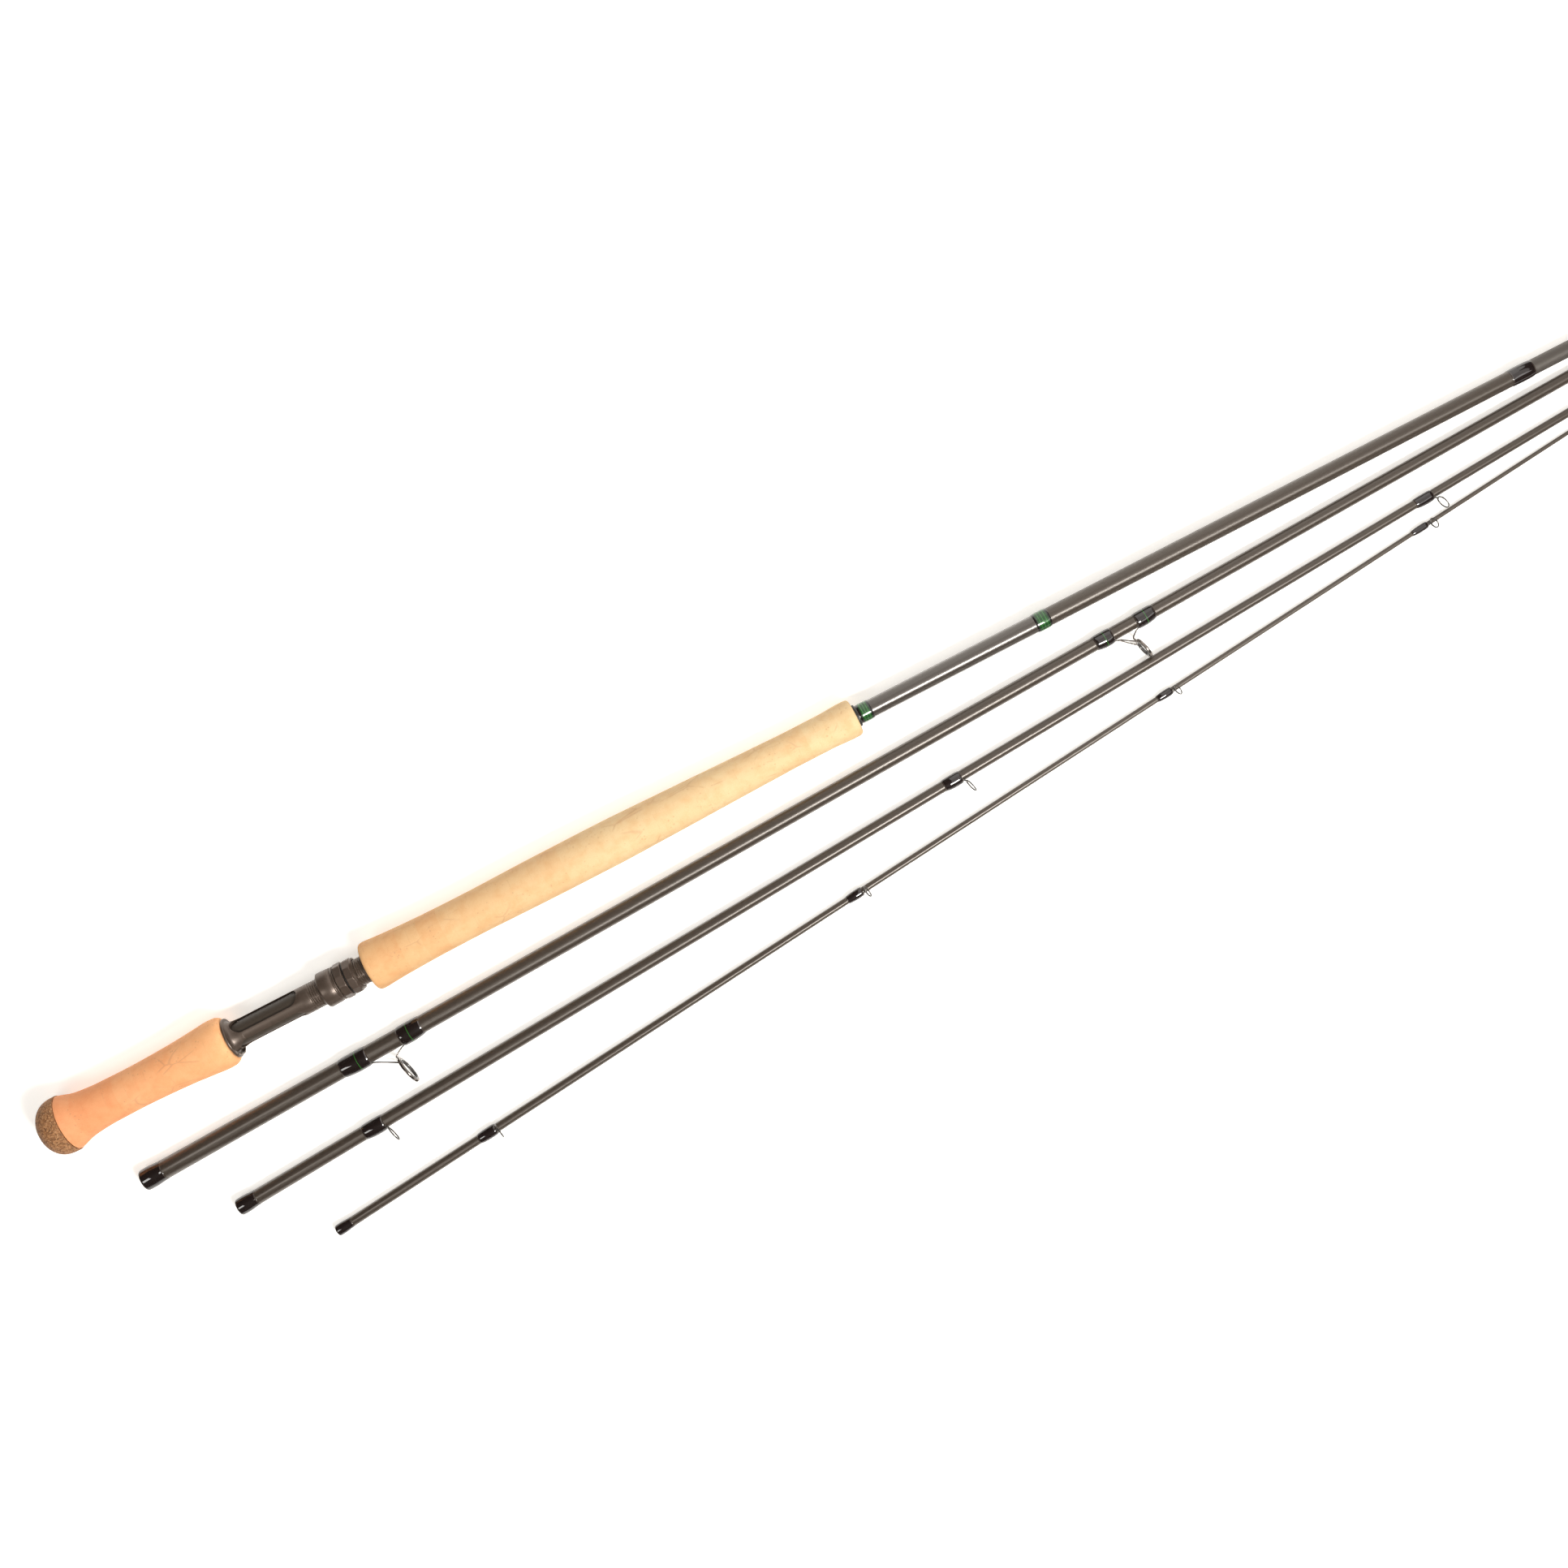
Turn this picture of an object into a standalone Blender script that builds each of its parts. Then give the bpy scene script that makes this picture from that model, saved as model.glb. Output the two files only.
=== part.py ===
"""Two-handed fly rod in four sections, taken apart and lying side by side on a table.

Each section is built in its own frame, in millimetres: +X runs from its lower end to its
tip, the axis of the tube is the X axis, and the line guides stand out towards -Z. The
section's empty then turns, tilts and rolls it into its place on the table.
"""

import math

import bmesh
import bpy
from mathutils import Matrix, Vector

MM = 0.001

# ---------------------------------------------------------------- driving dimensions, in mm

SECTION_LENGTH = 1037.0
SIDES = 20                 # facets round a blank and most of what is wrapped on it
GRIP_SIDES = 24
FOOT_WRAP_SIDES = 16
RING_STEPS = 20            # facets round a guide's ring
GAP = 0.3                  # between pieces that touch
WRAP_GAP = 0.2             # between a thread wrap and the blank under it
WRAP_THICKNESS = 0.35
WRAP_RUN_IN = 0.8          # over which a wrap's ends thin down

# Outer radius of each blank along its length: (x, radius).
BUTT_TAPER = [(17.0, 5.45), (520.0, 5.3), (700.0, 5.2), (844.0, 4.85), (955.0, 4.56), (SECTION_LENGTH, 4.4)]
SECOND_TAPER = [(0.0, 5.75), (108.0, 5.3), (428.0, 4.48), (704.0, 3.83), (975.0, 3.34), (SECTION_LENGTH, 3.2)]
THIRD_TAPER = [(0.0, 4.4), (108.0, 4.04), (383.0, 3.37), (663.0, 2.76), (987.0, 2.25), (SECTION_LENGTH, 2.15)]
TIP_TAPER = [(0.0, 2.88), (108.0, 2.6), (383.0, 1.95), (663.0, 1.42), (SECTION_LENGTH, 0.8)]

# Socket at the lower end of a section: depth, radius at the mouth, radius at its floor.
SECOND_SOCKET = (75.0, 4.62, 4.5)
THIRD_SOCKET = (62.0, 3.42, 3.3)
TIP_SOCKET = (50.0, 2.35, 2.25)
BLANK_WALL = 1.0           # above the socket
TIP_BORE = 1.5             # radius above the tip's socket
TIP_BORE_START = 70.0
TIP_BORE_FLOOR = 0.6       # where the tip's bore stops
TIP_BORE_END = 560.0

# Where each section lies: (x, y) of its lower end, its turn about Z, the roll that points its
# guides to the -Y side, and the place along it of its balance point.
BUTT_PLACE = (0.0, 0.0)
SECOND_PLACE = (35.3, -48.97)
SECOND_TURN = 2.166
SECOND_GUIDES_ABOVE_LEVEL = 9.9
THIRD_PLACE = (75.7, -87.26)
THIRD_TURN = 3.596
THIRD_GUIDES_ABOVE_LEVEL = 30.0
TIP_PLACE = (118.7, -124.78)
TIP_TURN = 5.682
TIP_GUIDES_ABOVE_LEVEL = 78.0
BUTT_BALANCE = 300.0
SECTION_BALANCE = 440.0

# Handle
HANDLE_BORE = 5.45 + GAP
CAP_LENGTH = 16.6
CAP_RADIUS = 16.75
CAP_CROWN = 14.9           # where the cap is widest
CAP_ROUNDING = 2.6         # exponent of the cap's superellipse
CAP_STEPS = 7
LOWER_GRIP = [(16.9, 16.2), (20.3, 15.25), (24.8, 13.8), (29.3, 13.05), (40.6, 12.2), (58.6, 12.0),
              (76.7, 12.5), (90.3, 13.15), (103.8, 14.3), (111.0, 14.85), (115.0, 14.6), (117.4, 13.5),
              (118.4, 12.1)]
UPPER_GRIP = [(205.9, 12.9), (206.8, 14.2), (208.8, 14.5), (226.0, 13.4), (248.6, 12.7), (271.3, 12.5),
              (316.7, 13.05), (353.0, 13.1), (384.9, 12.5), (407.6, 11.97), (453.1, 10.85), (480.0, 10.4),
              (494.2, 10.45), (507.8, 11.0), (511.6, 10.9), (513.5, 9.6)]
WINDING_CHECK = (513.8, 515.1, 6.6, 5.5)     # start, end, outer radius, bore
GREEN_WRAP_LOWER = (515.4, 523.3)
GREEN_WRAP_UPPER = (627.0, 636.2)
BUTT_FERRULE_WRAP = (929.9, 944.2)
SECOND_FERRULE_WRAP = (13.4, 0.55)           # length, and how far it swells
THIRD_FERRULE_WRAP = (12.1, 0.55)
TIP_FERRULE_WRAP = (10.3, 0.45)

# Reel seat. Angles are measured from +Z towards -Y.
SEAT_START = 118.7
SEAT_END = 205.6
SEAT_RADIUS = 8.05
SEAT_BORE = 7.0
SEAT_SIDES = 24
WINDOW_START = 122.6
WINDOW_END = 163.9
WINDOW_WIDTH = 10.9
WINDOW_ANGLES = (-46.5, 73.5, 193.5)
WINDOW_ARC_STEPS = 10      # round each of a window's ends
WINDOW_CUT = (4.0, 9.5)    # from the axis, what a window's cutter runs between
INSERT_RADIUS = SEAT_BORE - GAP
INSERT_START = 122.3
INSERT_END = 168.9
BUSHING_INSET = 0.2        # of the bushings' outer ends from the seat's
REEL_SIDE = 102.0
RUNNING_RADIUS = SEAT_RADIUS + GAP
THREAD_PITCH = 1.27
THREAD_DEPTH = 0.45
THREAD_LAND = 0.15         # half the flat between two grooves
THREAD_START = 170.3
THREAD_SHOWS = 176.2       # the sliding hood hides the thread above this
THREAD_RESUMES = 199.4
THREAD_END = 204.0
POCKET_STEPS = 10          # round a hood's pocket
POCKET_CUT_RADIUS = SEAT_RADIUS - 0.4        # inner radius of a pocket's cutter, under the hood's bore
POCKET_CUT_OVERRUN = 1.0   # of a pocket's cutter past the hood's open end
FIXED_HOOD_POCKET = (119.9, 10.3, 50.0)      # floor, outer radius, half its angle
SLIDING_HOOD_POCKET = (182.5, 9.6, 28.0)
FIXED_HOOD = [(118.7, 11.2), (118.8, 11.9), (119.6, 11.95), (119.85, 11.35), (121.9, 11.05), (122.6, 10.6),
              (122.8, 9.9)]
SLIDING_HOOD = [(176.2, 8.75), (178.4, 10.5), (185.5, 10.05), (185.6, 9.5), (186.3, 9.5), (186.4, 10.05),
                (187.3, 10.05)]
NUT_FACETS = 10
NUT_CHAMFER = 0.45
HOOD_NUT = (187.7, 192.4, 10.55)
HOOD_NUT_TURN = -19.7
LOCK_WASHER = (192.7, 193.1, 9.2)
LOCK_NUT = (193.4, 197.8, 10.35)
LOCK_NUT_COLLAR = (199.2, 9.5)
LOCK_NUT_TURN = 6.0
END_RING = (204.3, 205.6, 9.0)

# Line guides
WIRE_RADIUS = 0.4
GUIDE_LEAN = 14.0          # rings lean towards the tip
GUIDE_CLEARANCE = 1.3      # under a wire ring
NECK_LENGTH = 1.1          # from a wrap's end to the ring
FOOT_THICKNESS = 0.42
FOOT_WIDTH = 1.0
FOOT_GAP = 0.2             # round a guide's foot under its wrap
FOOT_COVER = 0.4           # thread over the foot's channel
FOOT_REACH = 0.52          # share of its wrap that a foot runs under
FOOT_TOE = 1.5             # length of the foot's thinned toe
CHANNEL_END = 0.42         # where a foot's channel stops, as a share of the wrap from its far end
THIRD_GUIDES = [(82.6, 95.9, 9.7), (465.2, 476.7, 8.5), (776.9, 788.3, 8.5)]   # wrap start, end, ring
TIP_GUIDES = [(95.6, 107.5, 9.1), (344.7, 355.2, 7.6), (554.5, 564.6, 6.9), (727.2, 737.8, 6.7),
              (866.0, 875.6, 6.0), (972.0, 980.6, 5.4)]
STRIPPING_GUIDES = [
    # rear wrap, front wrap, ring centre along the blank, its height over the axis, ring diameter
    ((128.3, 145.7), (165.8, 180.4), 161.9, 19.0, 17.2),
    ((617.9, 629.3), (644.0, 656.4), 641.0, 15.9, 12.9),
]
STRIPPING_LEAN = 12.5
FRAME_DEPTH = 1.0          # of a stripping guide's frame ring, along its radius
FRAME_WIDTH = 1.5          # and along the blank
INSERT_DEPTH = 0.9
INSERT_WIDTH = 1.9
STRIPPING_FOOT = (1.1, 0.6)                  # half its width, thickness
LEG_SPREAD = 48.0          # each rear leg meets the ring this far round from its lowest point
TIP_TOP_TUBE = (1028.0, 1038.0)
TIP_TOP_WALL = 0.42
TIP_TOP_RING = 5.2
TIP_TOP_PLUG = 0.6         # thickness of the tube's closed end
TIP_TOP_WRAP_LENGTH = 7.0


# ---------------------------------------------------------------- scene helpers

def clear_scene():
    for item in list(bpy.data.objects):
        bpy.data.objects.remove(item, do_unlink=True)


def make_material(name, color, roughness, metallic=0.0):
    material = bpy.data.materials.new(name)
    material.use_nodes = True
    shader = material.node_tree.nodes["Principled BSDF"]
    shader.inputs["Base Color"].default_value = (*color, 1.0)
    shader.inputs["Roughness"].default_value = roughness
    shader.inputs["Metallic"].default_value = metallic
    return material


def make_section(name):
    section = bpy.data.objects.new(name, None)
    bpy.context.scene.collection.objects.link(section)
    return section


def add_object(name, bm, look, section):
    """Turn a bmesh in millimetres into a named object under its section."""
    bmesh.ops.remove_doubles(bm, verts=bm.verts, dist=1e-5)
    if bm.calc_volume(signed=True) < 0.0:
        bmesh.ops.reverse_faces(bm, faces=bm.faces)
    bmesh.ops.scale(bm, vec=(MM, MM, MM), verts=bm.verts)
    mesh = bpy.data.meshes.new(name)
    bm.to_mesh(mesh)
    bm.free()
    mesh.shade_smooth()
    mesh.set_sharp_from_angle(angle=math.radians(35.0))
    piece = bpy.data.objects.new(name, mesh)
    bpy.context.scene.collection.objects.link(piece)
    piece.parent = section
    color, roughness, metallic = look
    mesh.materials.append(make_material(name, color, roughness, metallic))
    return piece


def combine(piece, other, operation):
    """Apply a Boolean with another object, which is then removed."""
    modifier = piece.modifiers.new(operation.lower(), "BOOLEAN")
    modifier.operation = operation
    modifier.solver = "EXACT"
    modifier.object = other
    bpy.context.view_layer.update()
    result = bpy.data.meshes.new_from_object(piece.evaluated_get(bpy.context.evaluated_depsgraph_get()))
    piece.modifiers.clear()
    old = piece.data
    result.name = old.name + "_result"
    piece.data = result
    bpy.data.meshes.remove(old)
    bpy.data.objects.remove(other, do_unlink=True)
    piece.data.set_sharp_from_angle(angle=math.radians(35.0))
    return piece


# ---------------------------------------------------------------- shapes

def around(x, radius, angle, lift=0.0):
    """A point round the section's axis; the angle is measured from -Z towards +Y."""
    return Vector((x, radius * math.sin(angle), -radius * math.cos(angle) - lift))


def turn_of(index, sides):
    return 2.0 * math.pi * index / sides


def loft(rings, closed):
    """Skin equal rings of points. A closed loft is a tube whose last ring joins the first."""
    bm = bmesh.new()
    loops = [[bm.verts.new(point) for point in ring] for ring in rings]
    pairs = list(zip(loops, loops[1:]))
    if closed:
        pairs.append((loops[-1], loops[0]))
    for first, second in pairs:
        count = len(first)
        for index in range(count):
            after = (index + 1) % count
            bm.faces.new((first[index], first[after], second[after], second[index]))
    if not closed:
        bm.faces.new(loops[0][::-1])
        bm.faces.new(loops[-1])
    return bm


def turned(outline, sides=SIDES, capped=False):
    """Revolve (x, radius) points: a closed outline, or an open one capped with flat ends."""
    rings = [[around(x, radius, turn_of(index, sides)) for index in range(sides)] for x, radius in outline]
    return loft(rings, closed=not capped)


def tube(outline, bore, sides=SIDES):
    """A turned piece with a plain round hole through it."""
    return turned(outline + [(outline[-1][0], bore), (outline[0][0], bore)], sides)


def plain_tube(start, end, radius, bore, sides=SIDES):
    return tube([(start, radius), (end, radius)], bore, sides)


def sweep(path, sides=8):
    """Skin an elliptical bar along (point, half width, half thickness) stations, its width along Y."""
    rings = []
    for index, (point, half_width, half_thickness) in enumerate(path):
        before = path[max(index - 1, 0)][0]
        after = path[min(index + 1, len(path) - 1)][0]
        forward = (after - before).normalized()
        across = (Vector((0.0, 1.0, 0.0)) - forward * forward.y).normalized()
        up = across.cross(forward)
        ring = []
        for side in range(sides):
            angle = turn_of(side + 0.5, sides)
            ring.append(point + across * half_width * math.cos(angle) + up * half_thickness * math.sin(angle))
        rings.append(ring)
    return loft(rings, closed=False)


def leaning_ring(centre_x, height, major, section_outline, lean):
    """A ring standing on the guide side; its section is (radial, axial) points round the wire."""
    tilt = math.radians(lean)
    outward = Vector((math.sin(tilt), 0.0, -math.cos(tilt)))
    normal = Vector((math.cos(tilt), 0.0, math.sin(tilt)))
    sideways = Vector((0.0, 1.0, 0.0))
    centre = Vector((centre_x, 0.0, -height))
    rings = []
    for index in range(RING_STEPS):
        angle = turn_of(index, RING_STEPS)
        spoke = outward * math.cos(angle) + sideways * math.sin(angle)
        hub = centre + spoke * major
        rings.append([hub + spoke * radial + normal * axial for radial, axial in section_outline])
    return loft(rings, closed=True)


def round_section(radius, sides=6):
    angles = [turn_of(index, sides) for index in range(sides)]
    return [(radius * math.cos(angle), radius * math.sin(angle)) for angle in angles]


def radius_at(taper, x):
    """Radius of a blank at x, on straight runs between the taper's points."""
    for (x0, r0), (x1, r1) in zip(taper, taper[1:]):
        if x <= x1:
            share = max(0.0, (x - x0) / (x1 - x0))
            return r0 + share * (r1 - r0)
    return taper[-1][1]


# ---------------------------------------------------------------- blanks and wraps

def add_blank(name, taper, section, socket=None):
    """A hollow tube, open at both ends, with a socket at its lower end if it has one."""
    bore = []
    if socket:
        depth, mouth, floor = socket
        bore += [(0.0, mouth), (depth, floor)]
    bore += [(x, radius - BLANK_WALL) for x, radius in taper if not socket or x > socket[0]]
    return add_object(name, turned(taper + bore[::-1]), LOOKS["blank"], section)


def add_tip_blank(section):
    """The tip's tube, which is solid above the end of its bore."""
    depth, mouth, floor = TIP_SOCKET
    bore = [(TIP_BORE_END, TIP_BORE_FLOOR), (TIP_BORE_START, TIP_BORE), (depth, floor), (0.0, mouth)]
    add_object("tip_blank", turned(bore + TIP_TAPER, capped=True), LOOKS["blank"], section)


def add_wrap(name, start, end, taper, section, look="black_thread"):
    """A thread wrap that follows the blank, with thinned ends."""
    stations = [(start, 0.4), (start + WRAP_RUN_IN, 1.0), (end - WRAP_RUN_IN, 1.0), (end, 0.4)]
    outer = [(x, radius_at(taper, x) + WRAP_GAP + WRAP_THICKNESS * share) for x, share in stations]
    inner = [(x, radius_at(taper, x) + WRAP_GAP) for x in (end, start)]
    add_object(name, turned(outer + inner), LOOKS[look], section)


def add_ferrule_wrap(name, length, bulge, taper, section):
    """The wrap round a socket's mouth: rounded at the lip and swelling towards its middle."""
    start = GAP
    stations = [(start, 0.35), (start + 1.0, 0.7), (start + 0.5 * length, 1.0), (length, 0.6)]
    outer = [(x, radius_at(taper, x) + WRAP_GAP + bulge * share) for x, share in stations]
    inner = [(x, radius_at(taper, x) + WRAP_GAP) for x in (length, start)]
    add_object(name, turned(outer + inner), LOOKS["black_thread"], section)


def add_foot_wrap(name, near, far, taper, section, foot):
    """A wrap that binds a guide foot: near is its end at the ring, far the other end.

    The foot lies in a square channel that stops part of the way along the wrap.
    """
    half_width, thickness = foot
    roof = 2.0 * FOOT_GAP + thickness
    half_channel = half_width + FOOT_GAP

    def place(share):
        return far + share * (near - far)

    rings = [
        outer_wrap_ring(place(0.0), 0.0, taper, roof),
        outer_wrap_ring(place(0.1), 0.3, taper, roof),
        outer_wrap_ring(place(CHANNEL_END), 1.0, taper, roof),
        outer_wrap_ring(near, 1.0, taper, roof),
        channel_ring(near, half_channel, roof, taper),
        channel_ring(place(CHANNEL_END), half_channel, roof, taper),
        channel_ring(place(CHANNEL_END), half_channel, WRAP_GAP, taper),
        channel_ring(far, half_channel, WRAP_GAP, taper),
    ]
    add_object(name, loft(rings, closed=True), LOOKS["black_thread"], section)


def outer_wrap_ring(x, share, taper, roof):
    """An outer ring of a foot wrap; a share of 1 is pushed all the way out over the foot."""
    blank = radius_at(taper, x)
    far_side = blank + WRAP_GAP + WRAP_THICKNESS * (0.5 + 0.5 * share)
    guide_side = far_side + (blank + roof + FOOT_COVER - far_side) * share
    radius = 0.5 * (far_side + guide_side)
    lift = 0.5 * (guide_side - far_side)
    return [around(x, radius, turn_of(index, FOOT_WRAP_SIDES), lift) for index in range(FOOT_WRAP_SIDES)]


def channel_ring(x, half_channel, roof, taper):
    """A ring round the blank with a square channel on the guide side, roof deep."""
    bore = radius_at(taper, x) + WRAP_GAP
    top = -radius_at(taper, x) - roof
    edge = math.asin(half_channel / bore)
    side = -bore * math.cos(edge)
    ring = [Vector((x, 0.0, top)), Vector((x, half_channel, top)), Vector((x, half_channel, side))]
    if roof == WRAP_GAP:
        ring = [around(x, bore, share * edge) for share in (0.0, 0.5, 1.0)]
    rest = FOOT_WRAP_SIDES - 5
    for index in range(1, rest + 1):
        ring.append(around(x, bore, edge + (2.0 * math.pi - 2.0 * edge) * index / (rest + 1)))
    mirrored = [Vector((point.x, -point.y, point.z)) for point in ring[1:3]]
    return ring + mirrored[::-1]


# ---------------------------------------------------------------- guides

def foot_stations(near, far, taper, half_width, thickness):
    """A foot from its thinned toe to where it comes out of its wrap's near end, for sweep()."""
    toe = near + FOOT_REACH * (far - near)
    instep = toe + math.copysign(FOOT_TOE, near - toe)
    stations = []
    for x, share in ((toe, 0.6), (instep, 1.0), (near, 1.0)):
        height = radius_at(taper, x) + FOOT_GAP + 0.5 * thickness
        stations.append((Vector((x, 0.0, -height)), share * half_width, share * 0.5 * thickness))
    return stations


def add_wire_guide(name, wrap_start, wrap_end, ring_size, taper, section):
    """A single-foot guide: a wire ring, a short neck and a flattened foot under the wrap."""
    blank = radius_at(taper, wrap_end)
    tilt = math.radians(GUIDE_LEAN)
    major = 0.5 * ring_size - WIRE_RADIUS
    neck_x = wrap_end + NECK_LENGTH
    lowest = blank + GUIDE_CLEARANCE + WIRE_RADIUS
    centre_x = neck_x + major * math.sin(tilt)
    height = lowest + major * math.cos(tilt)
    ring = leaning_ring(centre_x, height, major, round_section(WIRE_RADIUS), GUIDE_LEAN)
    guide = add_object(name, ring, LOOKS["wire"], section)
    half_width = 0.5 * FOOT_WIDTH
    path = foot_stations(wrap_end, wrap_start, taper, half_width, FOOT_THICKNESS)
    rise = Vector((0.6 * NECK_LENGTH, 0.0, -0.6 * FOOT_THICKNESS))
    path += [
        (path[-1][0] + rise, half_width, 0.75 * WIRE_RADIUS),
        (Vector((neck_x + 0.1, 0.0, -lowest - 0.1)), half_width, 0.75 * WIRE_RADIUS),
    ]
    combine(guide, add_object(name + "_neck", sweep(path), LOOKS["wire"], section), "UNION")
    add_foot_wrap(name + "_wrap", wrap_end, wrap_start, taper, section, (half_width, FOOT_THICKNESS))


def add_stripping_guide(name, rear_wrap, front_wrap, centre_x, height, ring_size, taper, section):
    """A double-foot guide: a two-leg rear foot, a single front leg, a frame ring and its insert."""
    outer = 0.5 * ring_size
    major = outer - 0.5 * FRAME_DEPTH
    corners = ((0.5, -0.5), (0.5, 0.5), (-0.5, 0.5), (-0.5, -0.5))
    frame_outline = [(radial * FRAME_DEPTH, axial * FRAME_WIDTH) for radial, axial in corners]
    ring = leaning_ring(centre_x, height, major, frame_outline, STRIPPING_LEAN)
    frame = add_object(name + "_frame", ring, LOOKS["chrome"], section)

    insert_outline = [(radial * INSERT_DEPTH, axial * INSERT_WIDTH) for radial, axial in round_section(0.5)]
    insert_major = outer - FRAME_DEPTH - GAP - 0.5 * INSERT_DEPTH
    insert = leaning_ring(centre_x, height, insert_major, insert_outline, STRIPPING_LEAN)
    add_object(name + "_ring", insert, LOOKS["ceramic"], section)

    def add_limb(path):
        combine(frame, add_object(name + "_limb", sweep(path), LOOKS["chrome"], section), "UNION")

    def on_ring(degrees):
        """A point of the frame ring, counted round from the one nearest to the blank."""
        tilt = math.radians(STRIPPING_LEAN)
        inward = Vector((-math.sin(tilt), 0.0, math.cos(tilt)))
        spoke = inward * math.cos(math.radians(degrees))
        spoke.y = math.sin(math.radians(degrees))
        return Vector((centre_x, 0.0, -height)) + spoke * major

    half_width, thickness = STRIPPING_FOOT
    rear_foot = foot_stations(rear_wrap[1], rear_wrap[0], taper, half_width, thickness)
    heel = rear_foot[-1][0]
    rear_foot.append((heel + Vector((1.6, 0.0, -0.3)), half_width, 0.45))
    add_limb(rear_foot)
    for side in (-1.0, 1.0):
        add_limb([
            (heel + Vector((0.5, 0.55 * side, -0.05)), 0.42, 0.42),
            (heel + Vector((2.2, 0.85 * side, -0.75)), 0.46, 0.46),
            (on_ring(side * LEG_SPREAD), 0.5, 0.5),
        ])

    front_leg = foot_stations(front_wrap[0], front_wrap[1], taper, half_width, thickness)
    heel = front_leg[-1][0]
    lowest = on_ring(0.0)
    bend = heel + Vector((-0.3 * (heel.x - lowest.x) - 0.9, 0.0, -0.9))
    front_leg += [
        (bend, 0.8, 0.42),
        (Vector((lowest.x - 0.9, 0.0, 0.45 * bend.z + 0.55 * lowest.z)), 0.6, 0.45),
        (lowest, 0.5, 0.5),
    ]
    add_limb(front_leg)
    add_foot_wrap(name + "_rear_wrap", rear_wrap[1], rear_wrap[0], taper, section, STRIPPING_FOOT)
    add_foot_wrap(name + "_front_wrap", front_wrap[0], front_wrap[1], taper, section, STRIPPING_FOOT)


def add_tip_top(section):
    """The tube glued on the tip's end, with the last ring of the rod."""
    start, end = TIP_TOP_TUBE
    bore = radius_at(TIP_TAPER, start) + WRAP_GAP
    outer = bore + TIP_TOP_WALL
    outline = [(end - TIP_TOP_PLUG, bore), (start, bore), (start, outer), (end, outer), (end + 0.5, 0.75)]
    top = add_object("tip_top", turned(outline, capped=True), LOOKS["wire"], section)
    major = 0.5 * TIP_TOP_RING - WIRE_RADIUS
    height = 0.35 + major
    centre_x = end + 1.2 + major * math.sin(math.radians(GUIDE_LEAN))
    ring = leaning_ring(centre_x, height, major, round_section(WIRE_RADIUS), GUIDE_LEAN)
    combine(top, add_object("tip_top_ring", ring, LOOKS["wire"], section), "UNION")
    neck = [
        (Vector((end - 0.2, 0.0, 0.0)), 0.6, 0.5),
        (Vector((end + 1.25, 0.0, -0.4)), 0.5, 0.35),
    ]
    combine(top, add_object("tip_top_neck", sweep(neck), LOOKS["wire"], section), "UNION")
    add_wrap("tip_top_wrap", start - TIP_TOP_WRAP_LENGTH, start - GAP, TIP_TAPER, section)


# ---------------------------------------------------------------- handle and reel seat

def from_top(angle):
    """Turn an angle measured from +Z towards -Y into the one that around() takes."""
    return math.radians(angle) + math.pi


def add_cap(section):
    outline = []
    for index in range(CAP_STEPS + 1):
        x = CAP_CROWN * (1.0 - math.cos(0.5 * math.pi * (index + 0.25) / (CAP_STEPS + 0.25)))
        run = (CAP_CROWN - x) / CAP_CROWN
        outline.append((x, CAP_RADIUS * (1.0 - run ** CAP_ROUNDING) ** 0.5))
    outline.append((CAP_LENGTH, CAP_RADIUS - 0.35))
    add_object("butt_cap", turned(outline, GRIP_SIDES, capped=True), LOOKS["cap"], section)


def thread_outline(start, end):
    """V grooves cut into the seat's outer surface, one a pitch."""
    points = []
    for index in range(int((end - start) / THREAD_PITCH)):
        x = start + index * THREAD_PITCH
        points.append((x + THREAD_LAND, SEAT_RADIUS))
        points.append((x + 0.5 * THREAD_PITCH, SEAT_RADIUS - THREAD_DEPTH))
        points.append((x + THREAD_PITCH - THREAD_LAND, SEAT_RADIUS))
    return points


def window_cutter(angle, section):
    """A round-ended slot as a prism that runs straight out from the seat's axis."""
    half = 0.5 * WINDOW_WIDTH
    outward = around(0.0, 1.0, from_top(angle))
    sideways = around(0.0, 1.0, from_top(angle) + 0.5 * math.pi)
    outline = []
    for centre, first in ((WINDOW_END - half, -90.0), (WINDOW_START + half, 90.0)):
        for index in range(WINDOW_ARC_STEPS + 1):
            turn = math.radians(first + 180.0 * index / WINDOW_ARC_STEPS)
            outline.append((centre + half * math.cos(turn), half * math.sin(turn)))
    rings = []
    for reach in WINDOW_CUT:
        rings.append([Vector((x, 0.0, 0.0)) + sideways * w + outward * reach for x, w in outline])
    return add_object("window_cutter", loft(rings, closed=False), LOOKS["seat"], section)


def pocket_cutter(start, end, outer, half_angle, section):
    """A sector of a ring, which hollows a hood for the reel's foot."""
    shares = [2.0 * index / POCKET_STEPS - 1.0 for index in range(POCKET_STEPS + 1)]
    rings = []
    for x in (start, end):
        ring = [around(x, outer, from_top(REEL_SIDE + half_angle * share)) for share in shares]
        ring += [around(x, POCKET_CUT_RADIUS, from_top(REEL_SIDE - half_angle * share)) for share in shares]
        rings.append(ring)
    return add_object("pocket_cutter", loft(rings, closed=False), LOOKS["seat"], section)


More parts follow.
